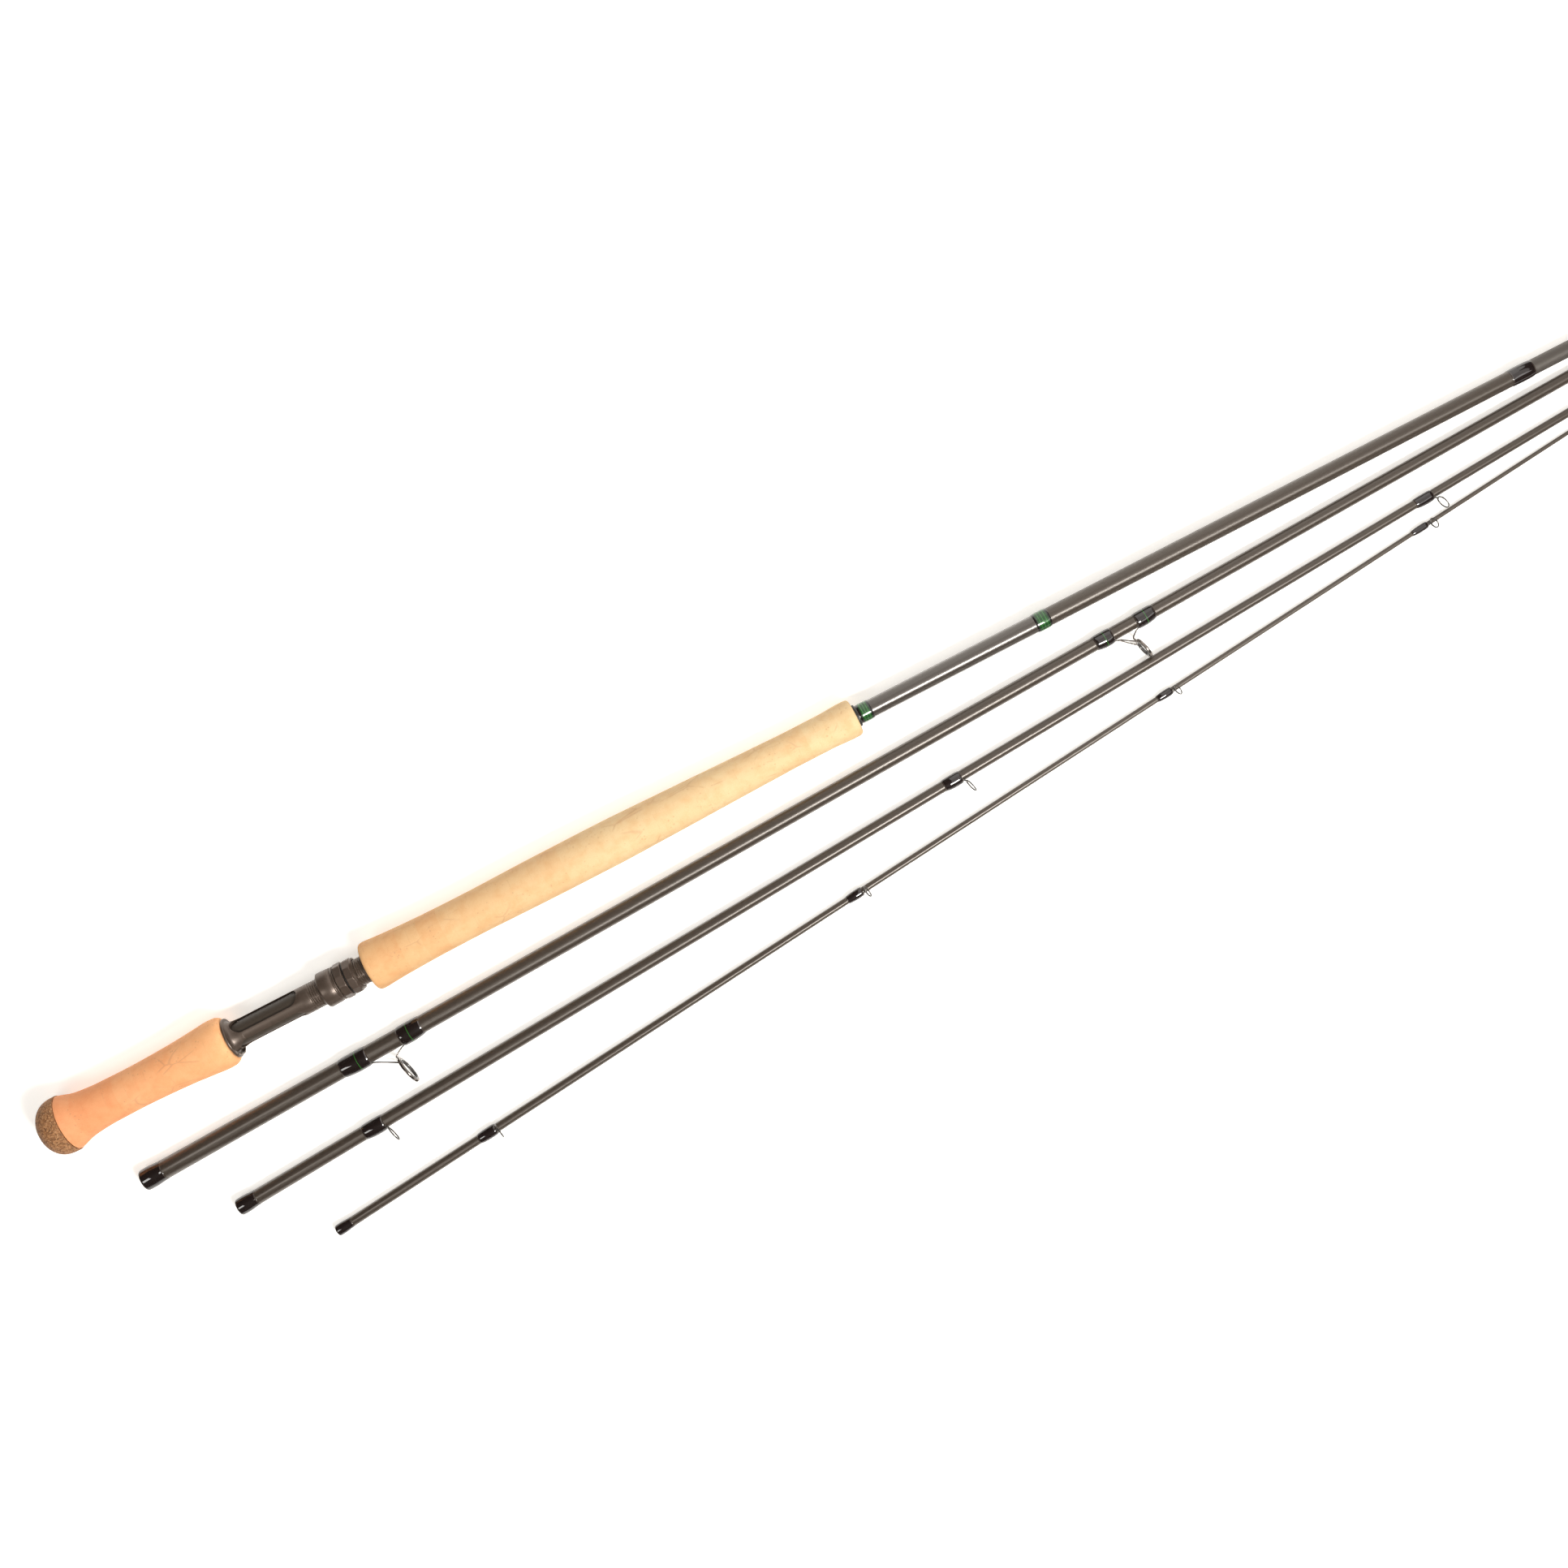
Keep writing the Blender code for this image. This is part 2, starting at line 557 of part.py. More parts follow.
def add_nut(name, start, end, corner, turn, section, collar=None):
    """A faceted nut with chamfered edges and a round bore, and a round collar if it has one."""
    sides = 2 * NUT_FACETS
    flat = corner * math.cos(math.pi / NUT_FACETS)

    def outer_ring(x, reduce):
        points = []
        for index in range(sides):
            radius = (corner if index % 2 == 0 else flat) - reduce
            points.append(around(x, radius, from_top(turn) + turn_of(index, sides)))
        return points

    def round_ring(x, radius):
        return [around(x, radius, from_top(turn) + turn_of(index, sides)) for index in range(sides)]

    rings = [
        outer_ring(start, NUT_CHAMFER),
        outer_ring(start + NUT_CHAMFER, 0.0),
        outer_ring(end - NUT_CHAMFER, 0.0),
        outer_ring(end, NUT_CHAMFER),
    ]
    last = end
    if collar:
        last, collar_radius = collar
        rings += [round_ring(end, collar_radius), round_ring(last, collar_radius)]
    rings += [round_ring(last, RUNNING_RADIUS), round_ring(start, RUNNING_RADIUS)]
    add_object(name, loft(rings, closed=True), LOOKS["nut"], section)


def add_reel_seat(section):
    seat_outline = [(SEAT_START, SEAT_RADIUS)]
    seat_outline += thread_outline(THREAD_START, THREAD_SHOWS)
    seat_outline += thread_outline(THREAD_RESUMES, THREAD_END)
    seat_outline += [(SEAT_END, SEAT_RADIUS)]
    seat = add_object("seat_barrel", tube(seat_outline, SEAT_BORE, SEAT_SIDES), LOOKS["seat"], section)
    for angle in WINDOW_ANGLES:
        combine(seat, window_cutter(angle, section), "DIFFERENCE")

    rear = plain_tube(SEAT_START + BUSHING_INSET, INSERT_START - GAP, INSERT_RADIUS, HANDLE_BORE)
    add_object("seat_bushing_rear", rear, LOOKS["bushing"], section)
    insert = plain_tube(INSERT_START, INSERT_END, INSERT_RADIUS, HANDLE_BORE, SEAT_SIDES)
    add_object("seat_insert", insert, LOOKS["insert"], section)
    front = plain_tube(INSERT_END + GAP, SEAT_END - BUSHING_INSET, INSERT_RADIUS, HANDLE_BORE)
    add_object("seat_bushing_front", front, LOOKS["bushing"], section)

    floor, outer, half_angle = FIXED_HOOD_POCKET
    fixed = add_object("fixed_hood", tube(FIXED_HOOD, RUNNING_RADIUS, SEAT_SIDES), LOOKS["seat"], section)
    pocket_end = FIXED_HOOD[-1][0] + POCKET_CUT_OVERRUN
    combine(fixed, pocket_cutter(floor, pocket_end, outer, half_angle, section), "DIFFERENCE")
    floor, outer, half_angle = SLIDING_HOOD_POCKET
    hood = add_object("sliding_hood", tube(SLIDING_HOOD, RUNNING_RADIUS, SEAT_SIDES), LOOKS["seat"], section)
    pocket_start = SLIDING_HOOD[0][0] - POCKET_CUT_OVERRUN
    combine(hood, pocket_cutter(pocket_start, floor, outer, half_angle, section), "DIFFERENCE")

    add_nut("hood_nut", *HOOD_NUT, HOOD_NUT_TURN, section)
    start, end, radius = LOCK_WASHER
    add_object("lock_washer", plain_tube(start, end, radius, RUNNING_RADIUS), LOOKS["bushing"], section)
    add_nut("lock_nut", *LOCK_NUT, LOCK_NUT_TURN, section, collar=LOCK_NUT_COLLAR)
    start, end, radius = END_RING
    add_object("seat_end_ring", plain_tube(start, end, radius, RUNNING_RADIUS), LOOKS["bushing"], section)


def add_handle(section):
    add_cap(section)
    add_object("lower_grip", tube(LOWER_GRIP, HANDLE_BORE, GRIP_SIDES), LOOKS["cork_dark"], section)
    add_reel_seat(section)
    add_object("upper_grip", tube(UPPER_GRIP, HANDLE_BORE, GRIP_SIDES), LOOKS["cork"], section)
    add_object("winding_check", plain_tube(*WINDING_CHECK), LOOKS["check"], section)


# ---------------------------------------------------------------- the four sections

def build_butt():
    section = make_section("butt_section")
    add_handle(section)
    add_blank("butt_blank", BUTT_TAPER, section)
    add_wrap("green_wrap_lower", *GREEN_WRAP_LOWER, BUTT_TAPER, section, "green_thread")
    add_wrap("green_wrap_upper", *GREEN_WRAP_UPPER, BUTT_TAPER, section, "green_thread")
    add_wrap("butt_ferrule_wrap", *BUTT_FERRULE_WRAP, BUTT_TAPER, section)
    return section


def build_second():
    section = make_section("second_section")
    add_blank("section2_blank", SECOND_TAPER, section, SECOND_SOCKET)
    add_ferrule_wrap("section2_ferrule_wrap", *SECOND_FERRULE_WRAP, SECOND_TAPER, section)
    for number, guide in enumerate(STRIPPING_GUIDES, start=1):
        add_stripping_guide("stripping_guide_%d" % number, *guide, SECOND_TAPER, section)
    return section


def build_third():
    section = make_section("third_section")
    add_blank("section3_blank", THIRD_TAPER, section, THIRD_SOCKET)
    add_ferrule_wrap("section3_ferrule_wrap", *THIRD_FERRULE_WRAP, THIRD_TAPER, section)
    for number, (start, end, ring_size) in enumerate(THIRD_GUIDES, start=1):
        add_wire_guide("section3_guide_%d" % number, start, end, ring_size, THIRD_TAPER, section)
    return section


def build_tip():
    section = make_section("tip_section")
    add_tip_blank(section)
    add_ferrule_wrap("tip_ferrule_wrap", *TIP_FERRULE_WRAP, TIP_TAPER, section)
    for number, (start, end, ring_size) in enumerate(TIP_GUIDES, start=1):
        add_wire_guide("tip_guide_%d" % number, start, end, ring_size, TIP_TAPER, section)
    add_tip_top(section)
    return section


def lower_hull(points):
    """Lower edge of a set of (x, z) points, from left to right."""
    hull = []
    for x, z in sorted(points):
        while len(hull) > 1:
            (x0, z0), (x1, z1) = hull[-2:]
            if (x1 - x0) * (z - z0) > (z1 - z0) * (x - x0):
                break
            hull.pop()
        hull.append((x, z))
    return hull


def lie_on_table(section, place, turn, guides_above_level, balance):
    """Roll a section's guides to their angle and rest it on the two points it balances between."""
    roll = 0.0
    if guides_above_level is not None:
        roll = -math.radians(90.0 + guides_above_level)
    spin = Matrix.Rotation(roll, 3, "X")
    points = [spin @ vertex.co for piece in section.children for vertex in piece.data.vertices]
    hull = lower_hull([(point.x, point.z) for point in points])
    for (x0, z0), (x1, z1) in zip(hull, hull[1:]):
        if x0 <= balance * MM <= x1:
            pitch = math.atan2(z1 - z0, x1 - x0)
            lift = x0 * math.sin(pitch) - z0 * math.cos(pitch)
    section.rotation_euler = (roll, pitch, math.radians(turn))
    section.location = (place[0] * MM, place[1] * MM, lift)


def centre_on_origin(sections):
    """Move the whole set so that its box is centred over the origin, standing on z = 0."""
    bpy.context.view_layer.update()
    corners = [piece.matrix_world @ vertex.co
               for section in sections for piece in section.children for vertex in piece.data.vertices]
    for axis in (0, 1):
        middle = 0.5 * (min(c[axis] for c in corners) + max(c[axis] for c in corners))
        for section in sections:
            section.location[axis] -= middle
    floor = min(c[2] for c in corners)
    for section in sections:
        section.location[2] -= floor
    bpy.context.view_layer.update()


# ---------------------------------------------------------------- looks: colour, roughness, metallic

LOOKS = {
    "blank": ((0.115, 0.098, 0.085), 0.38, 0.0),
    "black_thread": ((0.018, 0.012, 0.010), 0.12, 0.0),
    "green_thread": ((0.030, 0.075, 0.030), 0.15, 0.2),
    "wire": ((0.42, 0.41, 0.40), 0.25, 1.0),
    "chrome": ((0.62, 0.58, 0.55), 0.18, 1.0),
    "ceramic": ((0.16, 0.15, 0.14), 0.12, 0.0),
    "cap": ((0.24, 0.17, 0.13), 0.75, 0.0),
    "cork_dark": ((0.72, 0.38, 0.18), 0.7, 0.0),
    "cork": ((0.80, 0.52, 0.28), 0.7, 0.0),
    "seat": ((0.21, 0.18, 0.16), 0.35, 0.9),
    "nut": ((0.19, 0.16, 0.145), 0.35, 0.9),
    "insert": ((0.055, 0.050, 0.042), 0.4, 0.0),
    "bushing": ((0.02, 0.02, 0.02), 0.5, 0.0),
    "check": ((0.012, 0.012, 0.012), 0.3, 0.0),
}


def main():
    clear_scene()
    butt = build_butt()
    second = build_second()
    third = build_third()
    tip = build_tip()
    lie_on_table(butt, BUTT_PLACE, 0.0, None, BUTT_BALANCE)
    lie_on_table(second, SECOND_PLACE, SECOND_TURN, SECOND_GUIDES_ABOVE_LEVEL, SECTION_BALANCE)
    lie_on_table(third, THIRD_PLACE, THIRD_TURN, THIRD_GUIDES_ABOVE_LEVEL, SECTION_BALANCE)
    lie_on_table(tip, TIP_PLACE, TIP_TURN, TIP_GUIDES_ABOVE_LEVEL, SECTION_BALANCE)
    centre_on_origin([butt, second, third, tip])


main()
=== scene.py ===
import math

import bmesh
import bpy
from mathutils import Matrix, Vector


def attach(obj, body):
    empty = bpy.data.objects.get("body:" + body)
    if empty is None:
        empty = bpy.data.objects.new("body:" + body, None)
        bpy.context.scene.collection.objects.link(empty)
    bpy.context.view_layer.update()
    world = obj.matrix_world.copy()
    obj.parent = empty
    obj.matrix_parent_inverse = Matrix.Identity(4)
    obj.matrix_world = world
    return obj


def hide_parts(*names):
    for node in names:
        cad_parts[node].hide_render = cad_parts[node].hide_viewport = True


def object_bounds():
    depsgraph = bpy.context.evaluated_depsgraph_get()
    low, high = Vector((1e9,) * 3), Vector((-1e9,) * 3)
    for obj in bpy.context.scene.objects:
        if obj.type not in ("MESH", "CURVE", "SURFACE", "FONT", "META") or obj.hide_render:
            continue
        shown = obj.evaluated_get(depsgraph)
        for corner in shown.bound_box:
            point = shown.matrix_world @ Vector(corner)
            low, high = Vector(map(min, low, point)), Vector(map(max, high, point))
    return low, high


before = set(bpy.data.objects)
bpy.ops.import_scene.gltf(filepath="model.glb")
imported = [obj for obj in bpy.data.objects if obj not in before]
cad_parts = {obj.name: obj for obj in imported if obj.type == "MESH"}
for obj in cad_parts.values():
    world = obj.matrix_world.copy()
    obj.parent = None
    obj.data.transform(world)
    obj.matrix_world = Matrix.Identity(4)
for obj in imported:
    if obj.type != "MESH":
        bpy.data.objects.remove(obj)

CAD_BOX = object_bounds()
MM = 0.001
SIDES = 64  # faces round a blank or a small ring
FINE_SIDES = 96  # faces round a grip, a wrap or the thread
SEAT_SIDES = 128  # faces round the reel seat's barrel and hoods
SHARP_ANGLE = 38.0  # degrees; an edge that turns more is shown sharp
WAVE_PERIOD = 0.314  # mm between the bands of a wave texture of scale 1

# ---- dimensions, in mm along each section

SECTION_LENGTH = 1037.0
BUTT_TAPER = [(17.0, 5.45), (520.0, 5.3), (700.0, 5.2), (844.0, 4.85), (955.0, 4.56), (SECTION_LENGTH, 4.4)]
SECOND_TAPER = [(0.0, 5.75), (108.0, 5.3), (428.0, 4.48), (704.0, 3.83), (975.0, 3.34), (SECTION_LENGTH, 3.2)]
THIRD_TAPER = [(0.0, 4.4), (108.0, 4.04), (383.0, 3.37), (663.0, 2.76), (987.0, 2.25), (SECTION_LENGTH, 2.15)]
TIP_TAPER = [(0.0, 2.88), (108.0, 2.6), (383.0, 1.95), (663.0, 1.42), (SECTION_LENGTH, 0.8)]
SECOND_SOCKET = (75.0, 4.62, 4.5)  # depth, radius at the mouth, radius at the floor
THIRD_SOCKET = (62.0, 3.42, 3.3)
TIP_SOCKET = (50.0, 2.35, 2.25)
BLANK_WALL = 1.0
TIP_BORE_END = 560.0

LOWER_GRIP = [(16.75, 15.4), (17.0, 16.15), (18.2, 15.9), (20.3, 15.25), (24.8, 13.8), (29.3, 13.05),
              (40.6, 12.2), (58.6, 12.0), (76.7, 12.47), (90.3, 13.15), (103.8, 14.3), (111.0, 14.85),
              (115.0, 14.65), (117.2, 13.75), (118.2, 12.6), (118.4, 12.0)]
UPPER_GRIP = [(205.85, 12.6), (206.2, 13.6), (207.2, 14.27), (208.8, 14.46), (217.0, 13.9), (226.0, 13.4),
              (248.6, 12.67), (271.0, 12.5), (316.7, 13.02), (353.0, 13.08), (385.0, 12.5), (407.6, 11.96),
              (453.0, 10.85), (476.0, 10.42), (494.0, 10.42), (508.0, 11.0), (511.6, 10.85), (513.2, 10.0),
              (513.5, 9.2)]
CAP = (16.6, 16.75, 14.9, 2.6)  # length, radius, where it is widest, roundness
CORK_RING = 12.7
HANDLE_BORE = 5.75  # of the grips, the seat's insert and its bushings
CHECK_BORE = 5.32  # of the winding check

SEAT_START = 118.7
SEAT_RADIUS = 8.05
SEAT_BORE = 7.0
RUNNING_RADIUS = SEAT_RADIUS + 0.3
WINDOW_START = 122.6
WINDOW_END = 163.9
WINDOW_WIDTH = 10.9
WINDOW_ANGLES = (-46.5, 73.5, 193.5)
REEL_SIDE = 102.0
THREAD_START = 170.0
THREAD_END = 205.6
THREAD_PITCH = 1.27
THREAD_DEPTH = 0.45
NUT_FACETS = 10
BEVEL_WIDTH = 0.14  # of the edges milled into the seat

GREEN_WRAPS = [("green_wrap_lower", 515.4, 523.3), ("green_wrap_upper", 627.0, 636.2)]
LABEL_STRETCH = (515.0, 636.0)  # varnished; the printed label that stood here is left out
BUTT_FERRULE_WRAP = (929.9, 944.2)
SECOND_FERRULE_WRAP = (13.4, 0.67)  # length, and how far it swells
THIRD_FERRULE_WRAP = (12.1, 0.65)
TIP_FERRULE_WRAP = (10.3, 0.53)
WRAP_HEIGHT = 0.5
WRAP_EDGE = 0.03  # how far a wrap's edge stands over the blank, and its bore below it

GUIDE_LEAN = 14.0
STRIPPING_LEAN = 12.5
WIRE_RADIUS = 0.4
FOOT_THICKNESS = 0.42
FOOT_WIDTH = 1.0
WIRE_ROUND = 14  # faces round a guide's wire
STRIPPING_FOOT = 0.6  # thickness of a stripping guide's foot
STRIPPING_FOOT_HALF = 1.1  # half its width
TIP_TOP = (1028.0, 1038.0)  # start and end of its tube
TIP_TOP_RADIUS = 2.6
# Of each wire guide: where its wrap starts and ends, and the size of its ring.
THIRD_GUIDES = [(82.6, 95.9, 9.7), (465.2, 476.7, 8.5), (776.9, 788.3, 8.5)]
TIP_GUIDES = [(95.6, 107.5, 9.1), (344.7, 355.2, 7.6), (554.5, 564.6, 6.9), (727.2, 737.8, 6.7),
              (866.0, 875.6, 6.0), (972.0, 980.6, 5.4)]
# Of each stripping guide: rear wrap, front wrap, ring's place, height and size, and the two trim turns.
STRIPPING_GUIDES = [((128.3, 145.7), (165.8, 180.4), 161.9, 19.0, 17.2, 139.3, 172.4),
                    ((617.9, 629.3), (644.0, 656.4), 641.0, 15.9, 12.9, 624.3, 650.4)]


# ---- where the sections lie

def ring_centre(points, near):
    """Centre of the blank's end ring; the ring is symmetric, so the middle of its box is its centre."""
    ring = [p for p in points if abs(p.x - near) < 1.5 * MM]
    return Vector([0.5 * (min(p[k] for p in ring) + max(p[k] for p in ring)) for k in range(3)])


def section_frame(blank, blank_start, guide=None):
    """Placement of a section's own frame: X along the blank, its guides towards -Z.

    The butt section has no guide, so its Y follows the frame's.
    """
    points = [v.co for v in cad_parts[blank].data.vertices]
    low = ring_centre(points, min(p.x for p in points))
    high = ring_centre(points, max(p.x for p in points))
    along = (high - low).normalized()
    if guide is None:
        side = Vector((0.0, 1.0, 0.0))
        up = along.cross(side).normalized()
    else:
        offsets = [v.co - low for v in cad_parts[guide].data.vertices]
        across = max((o - along * o.dot(along) for o in offsets), key=lambda o: o.length)
        up = -across.normalized()
    side = up.cross(along)
    origin = low - along * blank_start * MM
    place = Matrix((along, side, up)).transposed().to_4x4()
    place.translation = origin
    return place


BUTT = section_frame("butt_blank", BUTT_TAPER[0][0])
SECOND = section_frame("section2_blank", 0.0, "stripping_guide_1_ring")
THIRD = section_frame("section3_blank", 0.0, "section3_guide_1")
TIP = section_frame("tip_blank", 0.0, "tip_guide_1")


# ---- materials

class Shade:
    """A node material being made, in the piece's own millimetres, with X along its section."""

    def __init__(self, name, **values):
        self.material = bpy.data.materials.new(name)
        self.material.use_nodes = True
        self.tree = self.material.node_tree
        self.shader = self.tree.nodes["Principled BSDF"]
        for key, value in values.items():
            self.shader.inputs[key.replace("_", " ")].default_value = value
        coordinates = self.tree.nodes.new("ShaderNodeTexCoord")
        scale = self.tree.nodes.new("ShaderNodeVectorMath")
        scale.operation = "SCALE"
        scale.inputs["Scale"].default_value = 1.0 / MM
        self.tree.links.new(coordinates.outputs["Object"], scale.inputs[0])
        self.place = scale.outputs[0]
        self.x = self.add("SeparateXYZ", Vector=self.place).outputs["X"]

    def add(self, kind, settings=None, **sockets):
        node = self.tree.nodes.new("ShaderNode" + kind)
        for key, value in (settings or {}).items():
            setattr(node, key, value)
        for key, value in sockets.items():
            self.feed(node.inputs[key.replace("_", " ")], value)
        return node

    def feed(self, socket, value):
        if isinstance(value, bpy.types.NodeSocket):
            self.tree.links.new(value, socket)
        else:
            socket.default_value = value

    def math(self, operation, *values):
        node = self.tree.nodes.new("ShaderNodeMath")
        node.operation = operation
        for socket, value in zip(node.inputs, values):
            self.feed(socket, value)
        return node.outputs[0]

    def stretched(self, x, y, z):
        """The place in mm, scaled per axis; small numbers draw a pattern out along that axis."""
        node = self.add("VectorMath", {"operation": "MULTIPLY"})
        self.feed(node.inputs[0], self.place)
        node.inputs[1].default_value = (x, y, z)
        return node.outputs[0]

    def noise(self, scale, detail=2.0, vector=None, roughness=0.5):
        return self.add("TexNoise", Vector=vector or self.place, Scale=scale, Detail=detail,
                        Roughness=roughness).outputs["Fac"]

    def cells(self, scale, vector=None, output="Distance", feature="F1"):
        node = self.add("TexVoronoi", {"feature": feature}, Vector=vector or self.place, Scale=scale)
        return node.outputs[output]

    def ramp(self, value, *stops):
        """Colours or greys at stops from 0 to 1."""
        node = self.add("ValToRGB", Fac=value)
        elements = node.color_ramp.elements
        while len(elements) < len(stops):
            elements.new(0.5)
        for element, (position, colour) in zip(elements, stops):
            element.position = position
            if not isinstance(colour, tuple):
                colour = (colour, colour, colour)
            element.color = (*colour, 1.0)
        return node.outputs["Color"]

    def mix(self, factor, a, b, blend="MIX"):
        """Blend two colours; a colour Mix node has its colours in inputs 6 and 7 and in output 2."""
        node = self.tree.nodes.new("ShaderNodeMix")
        node.data_type = "RGBA"
        node.blend_type = blend
        self.feed(node.inputs[0], factor)
        for index, value in ((6, a), (7, b)):
            self.feed(node.inputs[index], (*value, 1.0) if isinstance(value, tuple) else value)
        return node.outputs[2]

    def band(self, centre, half_width, edge=0.05):
        """1 within half_width of a place along the section, 0 outside."""
        offset = self.math("ABSOLUTE", self.math("SUBTRACT", self.x, centre))
        return self.add("MapRange", Value=offset, From_Min=half_width + edge,
                        From_Max=half_width - edge).outputs[0]

    def run(self, start, end):
        """0 below start, 1 above end, and even between."""
        return self.add("MapRange", Value=self.x, From_Min=start, From_Max=end).outputs[0]

    def rings(self, pitch, distortion=0.0):
        """Even rings round the section, a pitch apart."""
        node = self.add("TexWave", {"wave_type": "BANDS", "bands_direction": "X", "wave_profile": "SIN"},
                        Vector=self.place, Scale=WAVE_PERIOD / pitch, Distortion=distortion, Detail=2.0)
        return node.outputs["Fac"]

    def bump(self, height, distance, strength):
        """Relief of that height in mm, on top of any made before."""
        node = self.add("Bump", Height=height, Distance=distance * MM, Strength=strength)
        previous = self.shader.inputs["Normal"]
        if previous.is_linked:
            self.tree.links.new(previous.links[0].from_socket, node.inputs["Normal"])
        self.tree.links.new(node.outputs[0], previous)

    def colour(self, socket):
        self.feed(self.shader.inputs["Base Color"], socket)

    def rough(self, socket):
        self.feed(self.shader.inputs["Roughness"], socket)


def cork(name, pale, deep, start, end, seed):
    """Cork rings glued end to end, sanded smooth: soft patches, pits, thin cracks and faint joints, over
    painted light that runs from deep at start to pale at end.
    """
    s = Shade(name, Roughness=0.72, Specular_IOR_Level=0.3)
    moved = s.add("VectorMath", {"operation": "ADD"})
    s.feed(moved.inputs[0], s.place)
    moved.inputs[1].default_value = (seed, 2.0 * seed, 3.0 * seed)
    place = moved.outputs[0]
    # Painted light: the cork runs from deep at start to pale at end, lighter towards the lamps further up the
    # rod.
    base = s.mix(s.run(start, end), deep, pale)
    ring = s.math("FLOOR", s.math("DIVIDE", s.x, CORK_RING))
    tone = s.add("TexWhiteNoise", {"noise_dimensions": "1D"}, W=ring).outputs["Value"]
    base = s.mix(s.math("MULTIPLY", tone, 0.16), base, (0.95, 0.50, 0.24), "MULTIPLY")
    patches = s.noise(0.16, 4.0, place, 0.6)
    base = s.mix(s.ramp(patches, (0.42, 0.0), (0.72, 0.35)), base, (0.86, 0.60, 0.42), "MULTIPLY")
    grain = s.noise(2.2, 3.0, place, 0.7)
    base = s.mix(s.ramp(grain, (0.45, 0.0), (0.8, 0.30)), base, (0.80, 0.55, 0.38), "MULTIPLY")
    pit_cells = s.cells(0.42, place)
    pit_where = s.ramp(s.noise(0.11, 2.0, place), (0.50, 0.0), (0.60, 1.0))
    pits = s.math("MULTIPLY", s.ramp(pit_cells, (0.0, 1.0), (0.16, 0.9), (0.22, 0.0)), pit_where)
    crack_place = s.add("VectorMath", {"operation": "MULTIPLY"})
    s.feed(crack_place.inputs[0], place)
    crack_place.inputs[1].default_value = (0.5, 1.0, 1.0)
    crack_cells = s.cells(0.09, crack_place.outputs[0], "Distance", "DISTANCE_TO_EDGE")
    crack_where = s.ramp(s.noise(0.05, 3.0, place), (0.53, 0.0), (0.60, 1.0))
    cracks = s.math("MULTIPLY", s.ramp(crack_cells, (0.0, 1.0), (0.012, 0.8), (0.03, 0.0)), crack_where)
    along = s.math("FRACT", s.math("DIVIDE", s.x, CORK_RING))
    joint = s.ramp(s.math("ABSOLUTE", s.math("SUBTRACT", along, 0.5)), (0.0, 1.0), (0.008, 0.7), (0.02, 0.0))
    joint = s.math("MULTIPLY", joint, s.ramp(s.noise(0.3, 2.0, place), (0.45, 0.05), (0.65, 1.0)))
    marks = s.math("MAXIMUM", pits, s.math("MULTIPLY", cracks, 0.8))
    marks = s.math("MAXIMUM", marks, s.math("MULTIPLY", joint, 0.6))
    base = s.mix(s.math("MULTIPLY", marks, 0.42), base, (0.45, 0.22, 0.12))
    s.colour(base)
    s.bump(s.math("SUBTRACT", 1.0, marks), 0.12, 0.7)
    s.bump(grain, 0.03, 0.5)
    return s.material


def cap_material():
    """Burl cork: ground cork of many browns pressed with rubber."""
    s = Shade("burl_cork", Roughness=0.7, Specular_IOR_Level=0.3)
    grains = s.cells(1.3, output="Color")
    pick = s.add("SeparateColor", Color=grains).outputs["Red"]
    base = s.ramp(pick, (0.0, (0.15, 0.070, 0.028)), (0.25, (0.24, 0.105, 0.040)),
                  (0.5, (0.32, 0.140, 0.053)), (0.75, (0.39, 0.180, 0.072)), (1.0, (0.48, 0.250, 0.115)))
    fine = s.cells(3.0, output="Color")
    fine_pick = s.add("SeparateColor", Color=fine).outputs["Green"]
    base = s.mix(s.ramp(fine_pick, (0.72, 0.0), (0.8, 0.5)), base, (0.10, 0.048, 0.022))
    base = s.mix(s.ramp(fine_pick, (0.1, 0.35), (0.16, 0.0)), base, (0.60, 0.36, 0.19))
    s.colour(base)
    s.bump(s.cells(1.3), 0.06, 0.6)
    s.bump(s.noise(3.0, 3.0), 0.04, 0.5)
    return s.material


def carbon(name, gloss=None, matte_from=None):
    """Unsanded carbon blank: fine ribs left by the curing tape.

    The finest ribs only show as a highlight drawn out along the blank. It may have one varnished
    stretch, gloss, and a bare duller end from matte_from on.
    """
    s = Shade(name, Roughness=0.28, Specular_IOR_Level=0.85, Specular_Tint=(1.0, 0.93, 0.86, 1.0),
              Anisotropic=0.5, Anisotropic_Rotation=0.25)
    s.feed(s.shader.inputs["Tangent"], s.add("Tangent", {"direction_type": "RADIAL", "axis": "X"}).outputs[0])
    ribs = s.rings(0.85, 0.6)
    weave = s.noise(1.4, 3.0, s.stretched(0.35, 1.0, 1.0), 0.6)
    base = s.mix(ribs, (0.025, 0.018, 0.012), (0.044, 0.032, 0.023))
    base = s.mix(s.ramp(weave, (0.35, 0.0), (0.75, 0.5)), base, (0.060, 0.047, 0.036))
    rough = s.math("ADD", 0.30, s.math("MULTIPLY", weave, 0.12))
    if gloss:
        start, end = gloss
        inside = s.math("MULTIPLY", s.run(start - 0.2, start), s.run(end + 0.2, end))
        base = s.mix(s.math("MULTIPLY", inside, 0.35), base, (0.022, 0.019, 0.017))
        s.feed(s.shader.inputs["Coat Weight"], s.math("MULTIPLY", inside, 0.65))
        s.shader.inputs["Coat Roughness"].default_value = 0.2
    if matte_from:
        bare = s.run(matte_from, matte_from + 0.4)
        base = s.mix(bare, base, s.mix(weave, (0.046, 0.040, 0.034), (0.070, 0.061, 0.052)))
        rough = s.math("ADD", rough, s.math("MULTIPLY", bare, 0.22))
    s.colour(base)
    s.rough(rough)
    s.bump(ribs, 0.006, 1.0)
    s.bump(weave, 0.01, 0.4)
    return s.material


